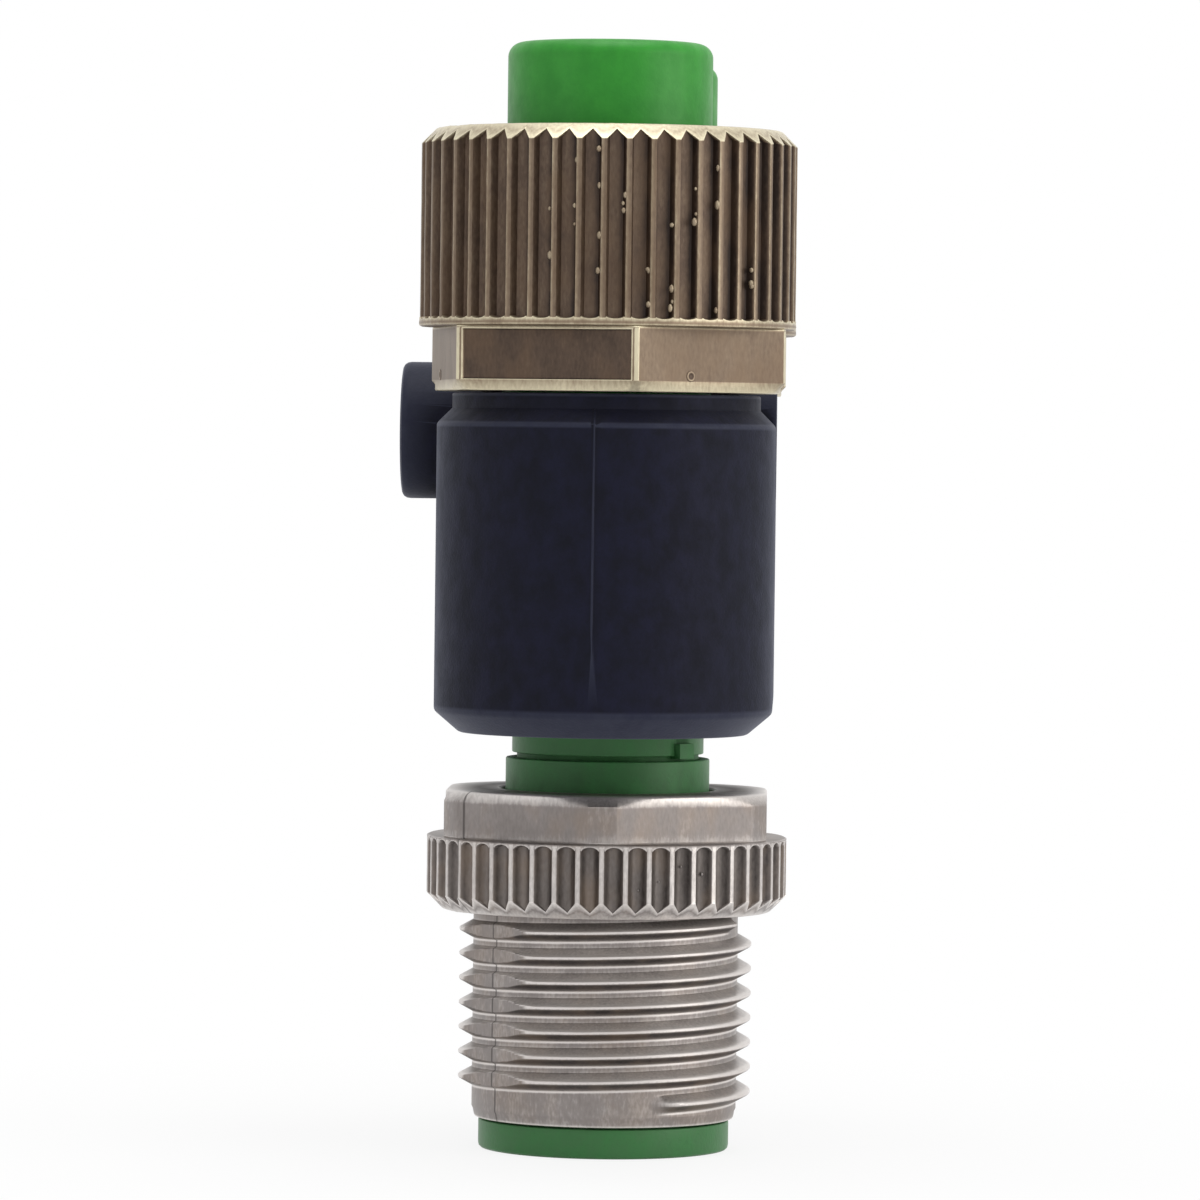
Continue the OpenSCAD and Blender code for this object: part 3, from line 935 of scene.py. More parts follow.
@dataclass(frozen=True)
class AgedPlating:
    """Plated metal that is dark in its corners and bright on its edges, and shows the painted highlights
    and shade that its wear attribute carries.

    Args:
        name: Name of the material.
        corner: Colour of inner corners and of painted shade.
        floor: Colour of sheltered faces.
        open_face: Colour of open faces.
        edge: Colour of rubbed edges and of painted highlights.
        stain: Colour of the blotches.
        stain_share: How far the blotches cover the plating.
        metallic: Share of metal in the shader.
        grit: Depth of the fine relief in millimetres.
        dull: Roughness of sheltered faces.
        bright: Roughness of rubbed edges.
        seam_angle: Direction of the mould seam, or None.
    """

    name: str
    corner: str
    floor: str
    open_face: str
    edge: str
    stain: str
    stain_share: float
    metallic: float
    grit: float
    dull: float
    bright: float
    seam_angle: Optional[float] = None

    def material(self) -> bpy.types.Material:
        """Build the material.

        Returns:
            The material.
        """
        s = Surface(self.name)
        fine = s.noise(0.11, 4.0, (1, 1, 2.5))
        patch = s.noise(0.9, 3.0, (1, 1, 2))
        broad = s.noise(3.2, 2.0)
        worn = s.g.math("ADD", s.wear, s.g.swing(fine, 0.32))
        worn = s.g.math("ADD", worn, s.g.swing(patch, 0.30))
        # The ramp turns wear into colour, together with the painted highlights and shade that the wear
        # attribute carries on the thread, the flutes and the hexagons.
        colour = s.g.ramp(worn, [(0.0, linear(self.corner)), (0.28, linear(self.floor)),
                                 (0.62, linear(self.open_face)), (0.95, linear(self.edge))])
        mean = s.g.math("ADD", s.g.math("MULTIPLY", patch, 0.5), s.g.math("MULTIPLY", broad, 0.5))
        blotch = s.g.math("MULTIPLY", s.spread(mean, 0.46, 0.62),
                          s.spread(s.wear, 0.5, 0.95, self.stain_share, self.stain_share * 0.3))
        colour = s.mix(blotch, colour, linear(self.stain))
        if self.seam_angle is not None:
            colour = s.mix(self.seam(s), colour, linear(self.corner))
        rough = s.g.math("ADD", s.spread(worn, 0.2, 0.95, self.dull, self.bright), s.g.swing(fine, 0.18))
        pits = s.bump(fine, self.grit, 0.7, s.bump(patch, self.grit * 2.5, 0.5))
        return s.finish(Base_Color=colour, Roughness=rough, Metallic=self.metallic, Normal=pits)

    def seam(self, s: Surface) -> bpy.types.NodeSocket:
        """Return a thin line along both parting planes of the mould."""
        across = polar(1.0, self.seam_angle + 90, 0.0)
        away = s.g.math("ABSOLUTE", s.g.vector_math("DOT_PRODUCT", s.place, across, output="Value"))
        return s.spread(away, 0.02 * MM, 0.07 * MM, 0.75, 0.0)


@dataclass(frozen=True)
class MouldedPlastic:
    """Moulded plastic with a fine grain, cloudy colour and lighter edges, partly rubbed and partly a
    painted highlight.

    Args:
        name: Name of the material.
        base: Main colour.
        cloud: Colour of the darker clouds.
        edge: Colour of the edges.
        grain: Size of the grain in millimetres.
        grain_depth: Depth of the grain in millimetres.
        roughness: Mean roughness.
        specular: Specular level.
        edge_share: How far the edges take their own colour.
        subsurface: Share of light that spreads below the surface.
        sheen: Weight of the soft light at grazing angles.
    """

    name: str
    base: str
    cloud: str
    edge: str
    grain: float
    grain_depth: float
    roughness: float
    specular: float
    edge_share: float
    subsurface: float = 0.0
    sheen: float = 0.0

    def material(self) -> bpy.types.Material:
        """Build the material.

        Returns:
            The material.
        """
        s = Surface(self.name)
        grain = s.noise(self.grain, 3.0)
        cloud = s.noise(0.7, 4.0, (1, 1, 1.4), 0.6)
        colour = s.mix(s.spread(cloud, 0.36, 0.66), linear(self.base), linear(self.cloud))
        speck = s.spread(grain, 0.30, 0.44, 0.45, 0.0)
        colour = s.mix(speck, colour, linear(self.cloud))
        # Lighter on convex edges and chamfers: partly rubbed wear, partly a painted highlight where they
        # catch the light.
        rub_and_highlight = s.g.math("MULTIPLY", s.spread(s.wear, 0.35, 1.0), s.spread(cloud, 0.3, 0.6, 0.6, 1.0))
        colour = s.mix(s.g.math("MULTIPLY", rub_and_highlight, self.edge_share), colour, linear(self.edge))
        # Darker towards inner corners.
        corner_darkening = s.spread(s.wear, 0.05, 0.25, 0.55, 0.0)
        colour = s.mix(corner_darkening, colour, linear(self.cloud))
        rough = s.g.math("ADD", s.spread(cloud, 0.3, 0.7, self.roughness - 0.06, self.roughness + 0.06),
                         s.g.math("MULTIPLY", rub_and_highlight, -0.12))
        skin = s.bump(grain, self.grain_depth, 0.8)
        values = {"Specular_IOR_Level": self.specular, "Sheen_Weight": self.sheen, "Sheen_Roughness": 0.35,
                  "Sheen_Tint": (0.6, 0.66, 0.9)}
        if self.subsurface > 0:
            values.update(Subsurface_Weight=self.subsurface, Subsurface_Scale=0.4 * MM,
                          Subsurface_Radius=(0.5, 1.0, 0.4))
        return s.finish(Base_Color=colour, Roughness=rough, Normal=skin, **values)


@dataclass(frozen=True)
class BrightMetal:
    """Drawn or turned metal with fine lines round its axis.

    Args:
        name: Name of the material.
        base: Main colour.
        shadow: Colour of the tarnish.
        roughness: Mean roughness.
        lines: Size of the lines in millimetres.
    """

    name: str
    base: str
    shadow: str
    roughness: float
    lines: float

    def material(self) -> bpy.types.Material:
        """Build the material.

        Returns:
            The material.
        """
        s = Surface(self.name)
        lines = s.noise(self.lines, 2.0, (6, 6, 1))
        cloud = s.noise(0.7, 3.0)
        colour = s.mix(s.spread(cloud, 0.42, 0.75), linear(self.base), linear(self.shadow))
        rough = s.spread(lines, 0.3, 0.7, self.roughness - 0.07, self.roughness + 0.09)
        return s.finish(Base_Color=colour, Metallic=0.75, Roughness=rough, Normal=s.bump(lines, 0.002, 0.5))


@dataclass(frozen=True)
class Rubber:
    """Smooth sealing rubber with a faint bloom.

    Args:
        name: Name of the material.
        base: Main colour.
        bloom: Colour of the bloom.
    """

    name: str
    base: str
    bloom: str

    def material(self) -> bpy.types.Material:
        """Build the material.

        Returns:
            The material.
        """
        s = Surface(self.name)
        cloud = s.noise(0.8, 4.0)
        grain = s.noise(0.06, 2.0)
        colour = s.mix(s.spread(cloud, 0.45, 0.75, 0.0, 0.6), linear(self.base), linear(self.bloom))
        return s.finish(Base_Color=colour, Roughness=s.spread(cloud, 0.3, 0.7, 0.42, 0.6),
                        Specular_IOR_Level=0.4, Normal=s.bump(grain, 0.006, 0.6))


class Finish(Enum):
    """Finishes of the coupler by the record's material slots."""

    # The body's lighter edge colour, on its chamfers, is partly rubbed wear and partly a painted highlight.
    BODY = MouldedPlastic("body_black", base="141527", cloud="10111c", edge="383b4c", grain=0.11,
                          grain_depth=0.014, roughness=0.60, specular=0.12, edge_share=0.6, sheen=0.16)
    CARRIER = MouldedPlastic("carrier_green", base="2d6d35", cloud="225627", edge="5c8f60", grain=0.16,
                             grain_depth=0.012, roughness=0.50, specular=0.22, edge_share=0.4,
                             subsurface=0.06)
    INSERT = MouldedPlastic("insert_green", base="2e902a", cloud="288627", edge="64ab62", grain=0.2,
                            grain_depth=0.010, roughness=0.42, specular=0.3, edge_share=0.35,
                            subsurface=0.08)
    SCREW = AgedPlating("screw_nickel", corner="37312f", floor="6c6561", open_face="8e8784", edge="dad4d0",
                        stain="86705a", stain_share=0.34, metallic=0.6, grit=0.010, dull=0.50, bright=0.32,
                        seam_angle=FRONT - 53)
    NUT = AgedPlating("nut_bronzed", corner="2a1e17", floor="59483b", open_face="8c7a65", edge="d8ceb0",
                      stain="5c4734", stain_share=0.50, metallic=0.5, grit=0.014, dull=0.52, bright=0.32)
    CONTACT = BrightMetal("contact_gold", base="d9b25c", shadow="a87f3a", roughness=0.26, lines=0.05)
    CONDUCTOR = BrightMetal("conductor_copper", base="c98a62", shadow="8f5a3c", roughness=0.38, lines=0.08)
    SPRING = BrightMetal("spring_steel", base="a6a7ab", shadow="77787c", roughness=0.34, lines=0.07)
    SEAL = Rubber("seal_rubber", base="17171a", bloom="2c2c30")

    @property
    def slot(self) -> str:
        """Return the record's slot of this finish."""
        return self.value.name


class Kit:
    """The materials and patterns that the pieces share."""

    def __init__(self) -> None:
        """Build each material and each pattern once."""
        self.materials = {finish: finish.value.material() for finish in Finish}
        self.rings, self.threads = RingPattern(), ThreadPattern()
        self.circles, self.beads = CirclePattern(), BeadPattern()

    def deliver(self, piece: bpy.types.Object, finish: Finish, smooth: float, body: str,
                *nodes: str) -> None:
        """Shade and dress a piece, tie it to its body and hide the solids it stands for.

        Args:
            piece: The finished piece.
            finish: Its finish.
            smooth: Widest angle between two faces that looks smooth, in degrees.
            body: Body that it rides on.
            nodes: Solids that it replaces.
        """
        shade(piece, smooth)
        dress(piece, self.materials[finish])
        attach(piece, body)
        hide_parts(*nodes)
        LOG.info("%s: %d faces on %s", piece.name, len(piece.data.polygons), body)


class Piece(Protocol):
    """A sub-assembly of the coupler."""

    def build(self, kit: Kit) -> None:
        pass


# ---------------------------------------------------------------- knurled parts

FLUTES = 48
FLUTE_DEPTH = 0.38
ACROSS_FLATS = 13.0
METAL_SMOOTH = 38


class EndForm(Enum):
    """How the flutes of a grip end."""

    POINTED = "points on a chamfer"
    ROUNDED = "rounded corners under a rim"


@dataclass(frozen=True)
class GripEnd:
    """One end of a grip.

    Args:
        form: How its flutes end.
        size: Width of the chamfer or height of the rim.
        polish: Wear of the chamfer or the rim.
        step: How far the rim stands out past the ridges.
        corner: Size of the flutes' rounded corners.
    """

    form: EndForm
    size: float
    polish: float
    step: float = 0.0
    corner: float = 0.14

    def rows(self, radius: float, cut: float, share: float, wear: float) -> list[Row]:
        """Give the rows between the end face and the flute's floor.

        Args:
            radius: Radius of the ridges.
            cut: Depth of the flute in this column.
            share: Place across the flute, from 0 at a ridge to 1 in the middle, or -1 on a ridge.
            wear: Wear of the flute in this column, with any painted light and shade that the section gives.

        Returns:
            Radius, distance from the end face and wear of each row, from the end face inwards.
        """
        lip = 0.045
        if self.form is EndForm.POINTED:
            foot = radius - self.size
            end = self.size - max(share, 0.0) * FLUTE_DEPTH
            middle = (end + 0.03) / 2
            return [(foot - 0.04, 0.0, 0.8), (foot + 0.03, 0.03, 0.95),
                    (foot + middle, middle, self.polish), (foot + end, end, 1.0),
                    (radius - cut, end + lip, wear)]
        rim = radius + self.step
        across = 1 - max(share, 0.0)
        end = self.size + (0.02 if share < 0 else self.corner * (1 - math.sqrt(1 - across ** 2)))
        return [(rim - 0.10, 0.0, 0.5), (rim - 0.01, 0.05, 0.8), (rim, self.size / 2, self.polish),
                (rim - 0.012, end, 0.9), (radius - cut, end + lip, wear)]


@dataclass(frozen=True)
class Grip:
    """A fluted grip.

    Args:
        low_z: Height of its lower face.
        high_z: Height of its upper face.
        radius: Radius of the ridges.
        ridge: Half width of a ridge as a share of the pitch.
        section: Place, depth share and wear of each column across one flute. The nut's wear column
            also paints light and shade on one side of each flute.
        bore: Radius of the bore.
        bore_chamfer: Chamfer at the bore's upper end.
        low_end: Form of the lower end.
        high_end: Form of the upper end.
    """

    low_z: float
    high_z: float
    radius: float
    ridge: float
    section: Sequence[tuple[float, float, float]]
    bore: float
    bore_chamfer: float
    low_end: GripEnd
    high_end: GripEnd

    FLOOR_ROWS = 9
    STRIP_MARGINS = (0.6, 0.8)

    def sector(self) -> Shell:
        """Return one ridge with half a flute on each side.

        Returns:
            The open sector.
        """
        columns = []
        # The third value is wear, with the painted light and shade that a section gives.
        for place, share_deep, wear in self.section:
            cut = share_deep * FLUTE_DEPTH
            share = (abs(place) - self.ridge) / (0.5 - self.ridge) if abs(place) > self.ridge else -1.0
            below = self.low_end.rows(self.radius, cut, share, wear)
            above = self.high_end.rows(self.radius, cut, share, wear)
            rows = [(r, self.low_z + d, w) for r, d, w in below]
            start, end = rows[-1][1], self.high_z - above[-1][1]
            for k in range(1, self.FLOOR_ROWS):
                rows.append((self.radius - cut, start + (end - start) * k / self.FLOOR_ROWS, wear))
            rows += [(r, self.high_z - d, w) for r, d, w in reversed(above)]
            rows += [(self.bore + self.bore_chamfer, self.high_z, 0.5),
                     (self.bore, self.high_z - self.bore_chamfer - 0.001, 0.3),
                     (self.bore, self.low_z, 0.1)]
            columns.append((FRONT + place * 360 / FLUTES, rows))
        return swept(columns)

    def flute_strips(self, angles: Iterable[float], inset: float, width: float) -> Shell:
        """Return thin upright strips beside ridges, for the casting beads.

        Args:
            angles: Directions of the strips in degrees.
            inset: How far the strips lie below the ridges.
            width: Width of a strip in degrees.

        Returns:
            One upright face for each strip.
        """
        strips = Shell()
        for angle in angles:
            radius = self.radius - inset
            ends = (self.low_z + self.STRIP_MARGINS[0], self.high_z - self.STRIP_MARGINS[1])
            corners = [polar(radius, angle + turn, z) for turn, z in
                       ((0, ends[0]), (width, ends[0]), (width, ends[1]), (0, ends[1]))]
            strips.add(Shell(corners, [(0, 1, 2, 3)], [0.5] * 4))
        return strips


@dataclass(frozen=True)
class Hexagon:
    """A hexagon with turned corners, and panels sunk into some flats.

    Args:
        low_z: Height of its lower face.
        high_z: Height of its upper face.
        turned: Radius that its corners are turned down to.
        low_chamfer: Chamfer of the corners at the lower end.
        high_chamfer: Chamfer of the corners at the upper end.
        edge: Rounding of the edges round the flats.
        inside: Rows of the bore, from the upper face down to the lower one.
        panel_depth: Depth of the panels.
        panel_low: Width of the frame under a panel.
        panel_high: Width of the frame over a panel.
        panel_side: Width of the frame beside a panel.
        face_wear: Wear in the middle of a plain flat.
        corner_wear: Wear of the corners.
    """

    low_z: float
    high_z: float
    turned: float
    low_chamfer: float
    high_chamfer: float
    edge: float
    inside: Sequence[Row]
    panel_depth: float = 0.08
    panel_low: float = 0.44
    panel_high: float = 0.14
    panel_side: float = 0.22
    face_wear: float = 0.55
    corner_wear: float = 0.95

    def sector(self, flats: Sequence[tuple[float, bool]]) -> Shell:
        """Return neighbouring flats as one open sector.

        Args:
            flats: Direction of each flat and whether it has a panel.

        Returns:
            The sector.
        """
        apothem = ACROSS_FLATS / 2
        half = apothem * math.tan(math.radians(30))
        panel = half - self.panel_side
        band = math.sqrt(max(self.turned ** 2 - apothem ** 2, 0.0))
        bevel, wall, near = 0.05, 0.035, 0.01
        places = [half, (half + band) / 2, band, band - bevel, panel, panel - wall, 0.75 * panel,
                  0.5 * panel, 0.25 * panel]
        places = sorted({-p for p in places} | {0.0} | set(places))
        columns: list[Column] = []
        for number, (normal, sunk) in enumerate(flats):
            for place in places[1 if number else 0:]:
                turn = math.atan2(place, apothem)
                radius = min(apothem / math.cos(turn), self.turned)
                plain = self.corner_wear if abs(place) > band - bevel / 2 else self.face_wear
                in_panel = sunk and abs(place) < panel - near
                on_rim = sunk and abs(abs(place) - panel) < near
                rows = self.outside(radius, turn, plain, in_panel, on_rim)
                columns.append((normal + math.degrees(turn), rows + list(self.inside)))
        return swept(columns)

    def end_rows(self, radius: float, chamfer: float) -> list[Row]:
        """Give radius, distance from the end face and wear of the rows at one end. Its bright edge rows are
        partly rubbed wear and partly a painted highlight.

        Args:
            radius: Radius of the hexagon in this column.
            chamfer: Height of the end's chamfer.

        Returns:
            The rows, from the end face inwards.
        """
        limit = self.turned - chamfer
        return [(min(radius, limit + distance) - drop, distance, wear) for distance, drop, wear in (
            (0.0, self.edge, 0.9), (self.edge * 0.4, self.edge * 0.35, 1.0), (self.edge, 0.0, 0.9),
            (max(chamfer, self.edge + 0.02), 0.0, 0.7))]

    def outside(self, radius: float, turn: float, plain: float, sunk: bool, rim: bool) -> list[Row]:
        """Give the outer rows of one column, from the lower face to the upper one.

        Args:
            radius: Radius of the hexagon in this column.
            turn: Angle between the column and the flat's middle.
            plain: Wear of the column where it isn't in a panel.
            sunk: Whether the column lies in a panel.
            rim: Whether the column lies on a panel's rim.

        Returns:
            The rows.
        """
        sink = self.panel_depth / math.cos(turn) if sunk else 0.0
        # A panel's floor is painted dark: painted shade of a flat turned away from the light, darkest at
        # its upper and lower ends.
        panel_end, panel_shade, wall = 0.02, 0.22, 0.03
        start, end = self.low_z + self.panel_low, self.high_z - self.panel_high
        frame_wear = RUBBED_AND_HIGHLIGHT if sunk or rim else plain
        rows = [(r, self.low_z + d, w) for r, d, w in self.end_rows(radius, self.low_chamfer)]
        rows.append((radius, start, frame_wear))
        for share in (0.0, 0.02, 0.25, 0.5, 0.75, 0.98, 1.0):
            z = start + wall + share * (end - start - 2 * wall)
            inner = panel_end if share in (0.0, 1.0) else panel_shade
            rows.append((radius - sink, z, RUBBED_AND_HIGHLIGHT if rim else inner if sunk else plain))
        rows.append((radius, end, frame_wear))
        rows += [(r, self.high_z - d, w) for r, d, w in reversed(self.end_rows(radius, self.high_chamfer))]
        return rows


def collar(low_z: float, high_z: float, ring_node: str, outer: float, bore: float = 4.40,
           groove: float = 4.95, play: float = 0.1) -> list[Row]:
    """Give the rows of an inner collar with its snap ring groove, from the top down.

    Args:
        low_z: Height of the collar's lower face.
        high_z: Height of the collar's upper face.
        ring_node: Solid of the snap ring in the groove.
        outer: Radius at which the faces begin.
        bore: Radius of the collar's bore.
        groove: Radius of the groove's floor.
        play: Room over and under the snap ring.

    Returns:
        The rows.
    """
    groove_low, groove_high = low(ring_node).z - play, high(ring_node).z + play
    return [(outer, high_z, 0.2), (bore + 0.06, high_z, 0.7), (bore, high_z - 0.06, 0.8),
            (bore, groove_high, 0.5), (groove, groove_high, 0.1), (groove, groove_low, 0.1),
            (bore, groove_low, 0.5), (bore, low_z + 0.08, 0.7), (bore + 0.08, low_z, 0.8)]


@dataclass
class CouplingScrew:
    """The plug's M12 x 1 screw with its grip and its turned hexagon.

    Args:
        thread: Sizes of the thread.
        tip_radius: Radius of the plain tip.
        bore: Radius of the tube's bore.
        grip_low: Height of the grip's lower face above the screw's lowest face.
        hex_low: Height of the hexagon's lower face above the screw's lowest face.
        collar_height: Height of the inner collar.
        grip_radius: Radius of the grip's ridges.
        grip_bore: Radius of the bore inside the grip.
        ridge: Half width of a ridge as a share of the pitch.

    BEAD_FLUTES counts the flutes with beads from the front.
    """

    thread: Thread
    tip_radius: float = 5.30
    bore: float = 4.85
    grip_low: float = 8.46
    hex_low: float = 11.48
    collar_height: float = 1.66
    grip_radius: float = 7.325
    grip_bore: float = 5.0
    ridge: float = 0.095

    NODE = "coupling_screw"
    BEAD_FLUTES = (1, 2, 3, 4, -5, 11, -14, 17)
    # Wear of each column across one flute; each flute is darker on one side than on the other.
    SECTION = ((-0.5, 1.0, 0.34), (-0.38, 0.95, 0.30), (-0.27, 0.78, 0.20), (-0.18, 0.46, 0.12),
               (-0.125, 0.14, 0.30), (-0.095, 0.02, 0.80), (0.0, 0.0, 0.88), (0.095, 0.02, 0.80),
               (0.125, 0.14, 0.40), (0.18, 0.46, 0.22), (0.27, 0.78, 0.30), (0.38, 0.95, 0.36),
               (0.5, 1.0, 0.34))

    def build(self, kit: Kit) -> None:
        """Make the screw in place of its solid.

        Args:
            kit: Materials and patterns.
        """
        finish = kit.materials[Finish.SCREW]
        bottom, top = low(self.NODE).z, high(self.NODE).z
        grip_z, hex_z, collar_z = bottom + self.grip_low, bottom + self.hex_low, top - self.collar_height
        grip = Grip(low_z=grip_z, high_z=hex_z, radius=self.grip_radius, ridge=self.ridge,
                    section=self.SECTION, bore=self.grip_bore, bore_chamfer=0.0,
                    low_end=GripEnd(EndForm.POINTED, size=0.65, polish=0.62),
                    high_end=GripEnd(EndForm.ROUNDED, size=0.10, polish=0.6, corner=0.26))
        hex_foot = hex_z - 0.05
        inside = collar(collar_z, top, "screw_snap_ring", 5.2)
        inside += [(self.grip_bore, collar_z, 0.2), (self.grip_bore, hex_foot, 0.2)]
        hexagon = Hexagon(low_z=hex_foot, high_z=top, turned=7.2, low_chamfer=0.0, high_chamfer=0.4,
                          edge=0.1, inside=inside, panel_high=0.5, corner_wear=0.60)
        lines = [FRONT + (k + 0.45) * 360 / FLUTES for k in self.BEAD_FLUTES]
        screw = joined("screw", [
            self.tube(kit.threads, finish, bottom, hex_z),
            kit.rings.grow(grip.sector(), FLUTES, finish, flaw_depth=0.05, flaw_size=0.5,
                           flaw_angle=FRONT - 55, seed=3.0),
            kit.rings.grow(hexagon.sector([(0.0, False)]), 6, finish, flaw_depth=0.006, flaw_size=0.8,
                           seed=5.0),
            kit.beads.grow(grip.flute_strips(lines, inset=0.30, width=2.0), density=2.6, size=0.055,
                           seed=11, finish=finish)])
        kit.deliver(screw, Finish.SCREW, METAL_SMOOTH, "screw", self.NODE)

    def tube(self, threads: ThreadPattern, finish: bpy.types.Material, bottom: float, top: float) -> Shell:
        """Return the threaded tube with its plain tip and bore.

        Args:
            threads: Pattern that makes the thread.
            finish: Material of the tube.
            bottom: Height of the tip.
            top: Height of the tube's upper end.

        Returns:
            The closed tube.
        """
        surface = threads.grow(self.thread, finish)
        root, start = self.thread.root, self.thread.low
        rows = [(root, start, 0.62), (self.tip_radius + 0.03, start - 0.12, 0.60),
                (self.tip_radius, start - 0.3, 0.64), (self.tip_radius, bottom + 0.12, 0.66),
                (self.tip_radius - 0.03, bottom + 0.03, 0.95), (self.tip_radius - 0.1, bottom, 0.9),
                (self.bore + 0.1, bottom, 0.7), (self.bore, bottom + 0.1, 0.4), (self.bore, top + 0.2, 0.2),
                (root, top + 0.2, 0.2), (root, self.thread.high, 0.2)]
        return surface.add(lathe(rows, ThreadPattern.COLUMNS, closed_path=False))


@dataclass
class CouplingNut:
    """A socket's coupling nut with its grip, hexagon and inner thread.

    Args:
        node: Solid that it stands for.
        ring_node: Solid of its snap ring.
        body: Body that it rides on.
        name: Name of the piece.
        hex_high: Height of the hexagon.
        floor: Height of the nut's floor above its lowest face.
        hex_turn: Direction of one flat.
        grip_radius: Radius of the grip's ridges.
        tube_back: Radius of the hidden back of the threaded tube.
        mark_height: Height of the ejector marks above the nut's lowest face.
        ridge: Half width of a ridge as a share of the pitch.
        seed: Seed of its flaws.

    BEAD_FLUTES counts the flutes with beads from the front.
    """

    node: str
    ring_node: str
    body: str
    name: str
    hex_high: float = 2.54
    floor: float = 2.27
    hex_turn: float = 10.3
    grip_radius: float = 7.425
    tube_back: float = 6.15
    mark_height: float = 0.62
    ridge: float = 0.108
    seed: float = 1.0

    BEAD_FLUTES = (-2, -1, 0, 1, 2, 3, 4, 5, 7, 19, 24, 30, 37)
    # Each column's wear paints light from one side: painted shade in the flute next to one side of each
    # ridge, a painted highlight on that side of the ridge, and the ridge darker towards its other side.
    SECTION = ((-0.5, 1.0, 0.30), (-0.40, 1.0, 0.26), (-0.30, 0.98, 0.08), (-0.215, 0.90, -0.14),
               (-0.145, 0.30, 0.10), (-0.108, 0.03, 0.66), (-0.05, 0.0, 0.62), (0.03, 0.0, 0.44),
               (0.108, 0.03, 0.40), (0.145, 0.30, 0.30), (0.215, 0.90, 0.28), (0.29, 0.98, 0.30),
               (0.40, 1.0, 0.33), (0.5, 1.0, 0.30))

    def build(self, kit: Kit) -> None:
        """Make the nut in place of its solid.

        Args:
            kit: Materials and patterns.
        """
        finish = kit.materials[Finish.NUT]
        bottom, top = low(self.node).z, high(self.node).z
        hex_z, floor_z = bottom + self.hex_high, bottom + self.floor
        grip = Grip(low_z=hex_z - 0.02, high_z=top, radius=self.grip_radius, ridge=self.ridge,
                    section=self.SECTION, bore=6.05, bore_chamfer=0.2,
                    low_end=GripEnd(EndForm.ROUNDED, size=0.27, polish=0.55, step=0.03),
                    high_end=GripEnd(EndForm.POINTED, size=0.6, polish=0.78))
        inner = 5.9
        inside = [(inner, hex_z, 0.2)] + collar(bottom, floor_z, self.ring_node, inner)
        hexagon = Hexagon(low_z=bottom, high_z=hex_z, turned=7.46, low_chamfer=0.4, high_chamfer=0.0,
                          edge=0.05, inside=inside, face_wear=0.44)
        thread = Thread(low=floor_z + 0.02, high=top - 0.5, crest=5.46, root=6.0, phase=floor_z + 0.6,
                        start=0.1, end=6.4, ramp=0.2, polish=0.3)
        tube = kit.threads.grow(thread, finish)
        tube.add(lathe([(thread.root, thread.low, 0.1), (self.tube_back, thread.low, 0.1),
                        (self.tube_back, thread.high, 0.1), (thread.root, thread.high, 0.1)],
                       ThreadPattern.COLUMNS, closed_path=False))
        panel_side = self.hex_turn + 240
        plain_side = panel_side + 60
        left_sides = [FRONT + (k - 0.24) * 360 / FLUTES for k in self.BEAD_FLUTES]
        nut = joined(self.name, [
            tube,
            kit.rings.grow(grip.sector(), FLUTES, finish, flaw_depth=0.07, flaw_size=0.45,
                           flaw_angle=FRONT - 62, flaw_spread=0.12, seed=self.seed),
            kit.rings.grow(hexagon.sector([(panel_side, True), (plain_side, False)]), 3, finish,
                           flaw_depth=0.02, flaw_size=0.5, seed=self.seed + 2),
            kit.beads.grow(grip.flute_strips(left_sides, inset=0.10, width=0.9), density=4.2, size=0.12,
                           seed=int(self.seed) + 20, finish=finish),
            self.mark(plain_side, bottom + self.mark_height)], (0, axis_y(self.node), 0))
        kit.deliver(nut, Finish.NUT, METAL_SMOOTH, self.body, self.node)

    def mark(self, normal: float, height: float) -> Shell:
        """Return the small round mark that an ejector pin leaves on each plain flat.

        Args:
            normal: Direction of one plain flat.
            height: Height of the marks' middle.

        Returns:
            The three marks.
        """
        button = lathe([(0, -0.05, 0.3), (0.23, -0.05, 0.3), (0.22, 0.015, 0.2), (0.18, 0.03, 0.68),
                        (0.14, 0.03, 0.62), (0.11, 0.012, 0.15), (0, 0.012, 0.3)], 24, closed_path=False)
        total = Shell()
        for k in range(3):
            turn = Matrix.Rotation(math.radians(normal + 120 * k), 3, "Z")
            total.add(button.turned(UP_TO_X).moved((ACROSS_FLATS / 2, -1.05, height)).turned(turn))
        return total


# ---------------------------------------------------------------- moulded parts


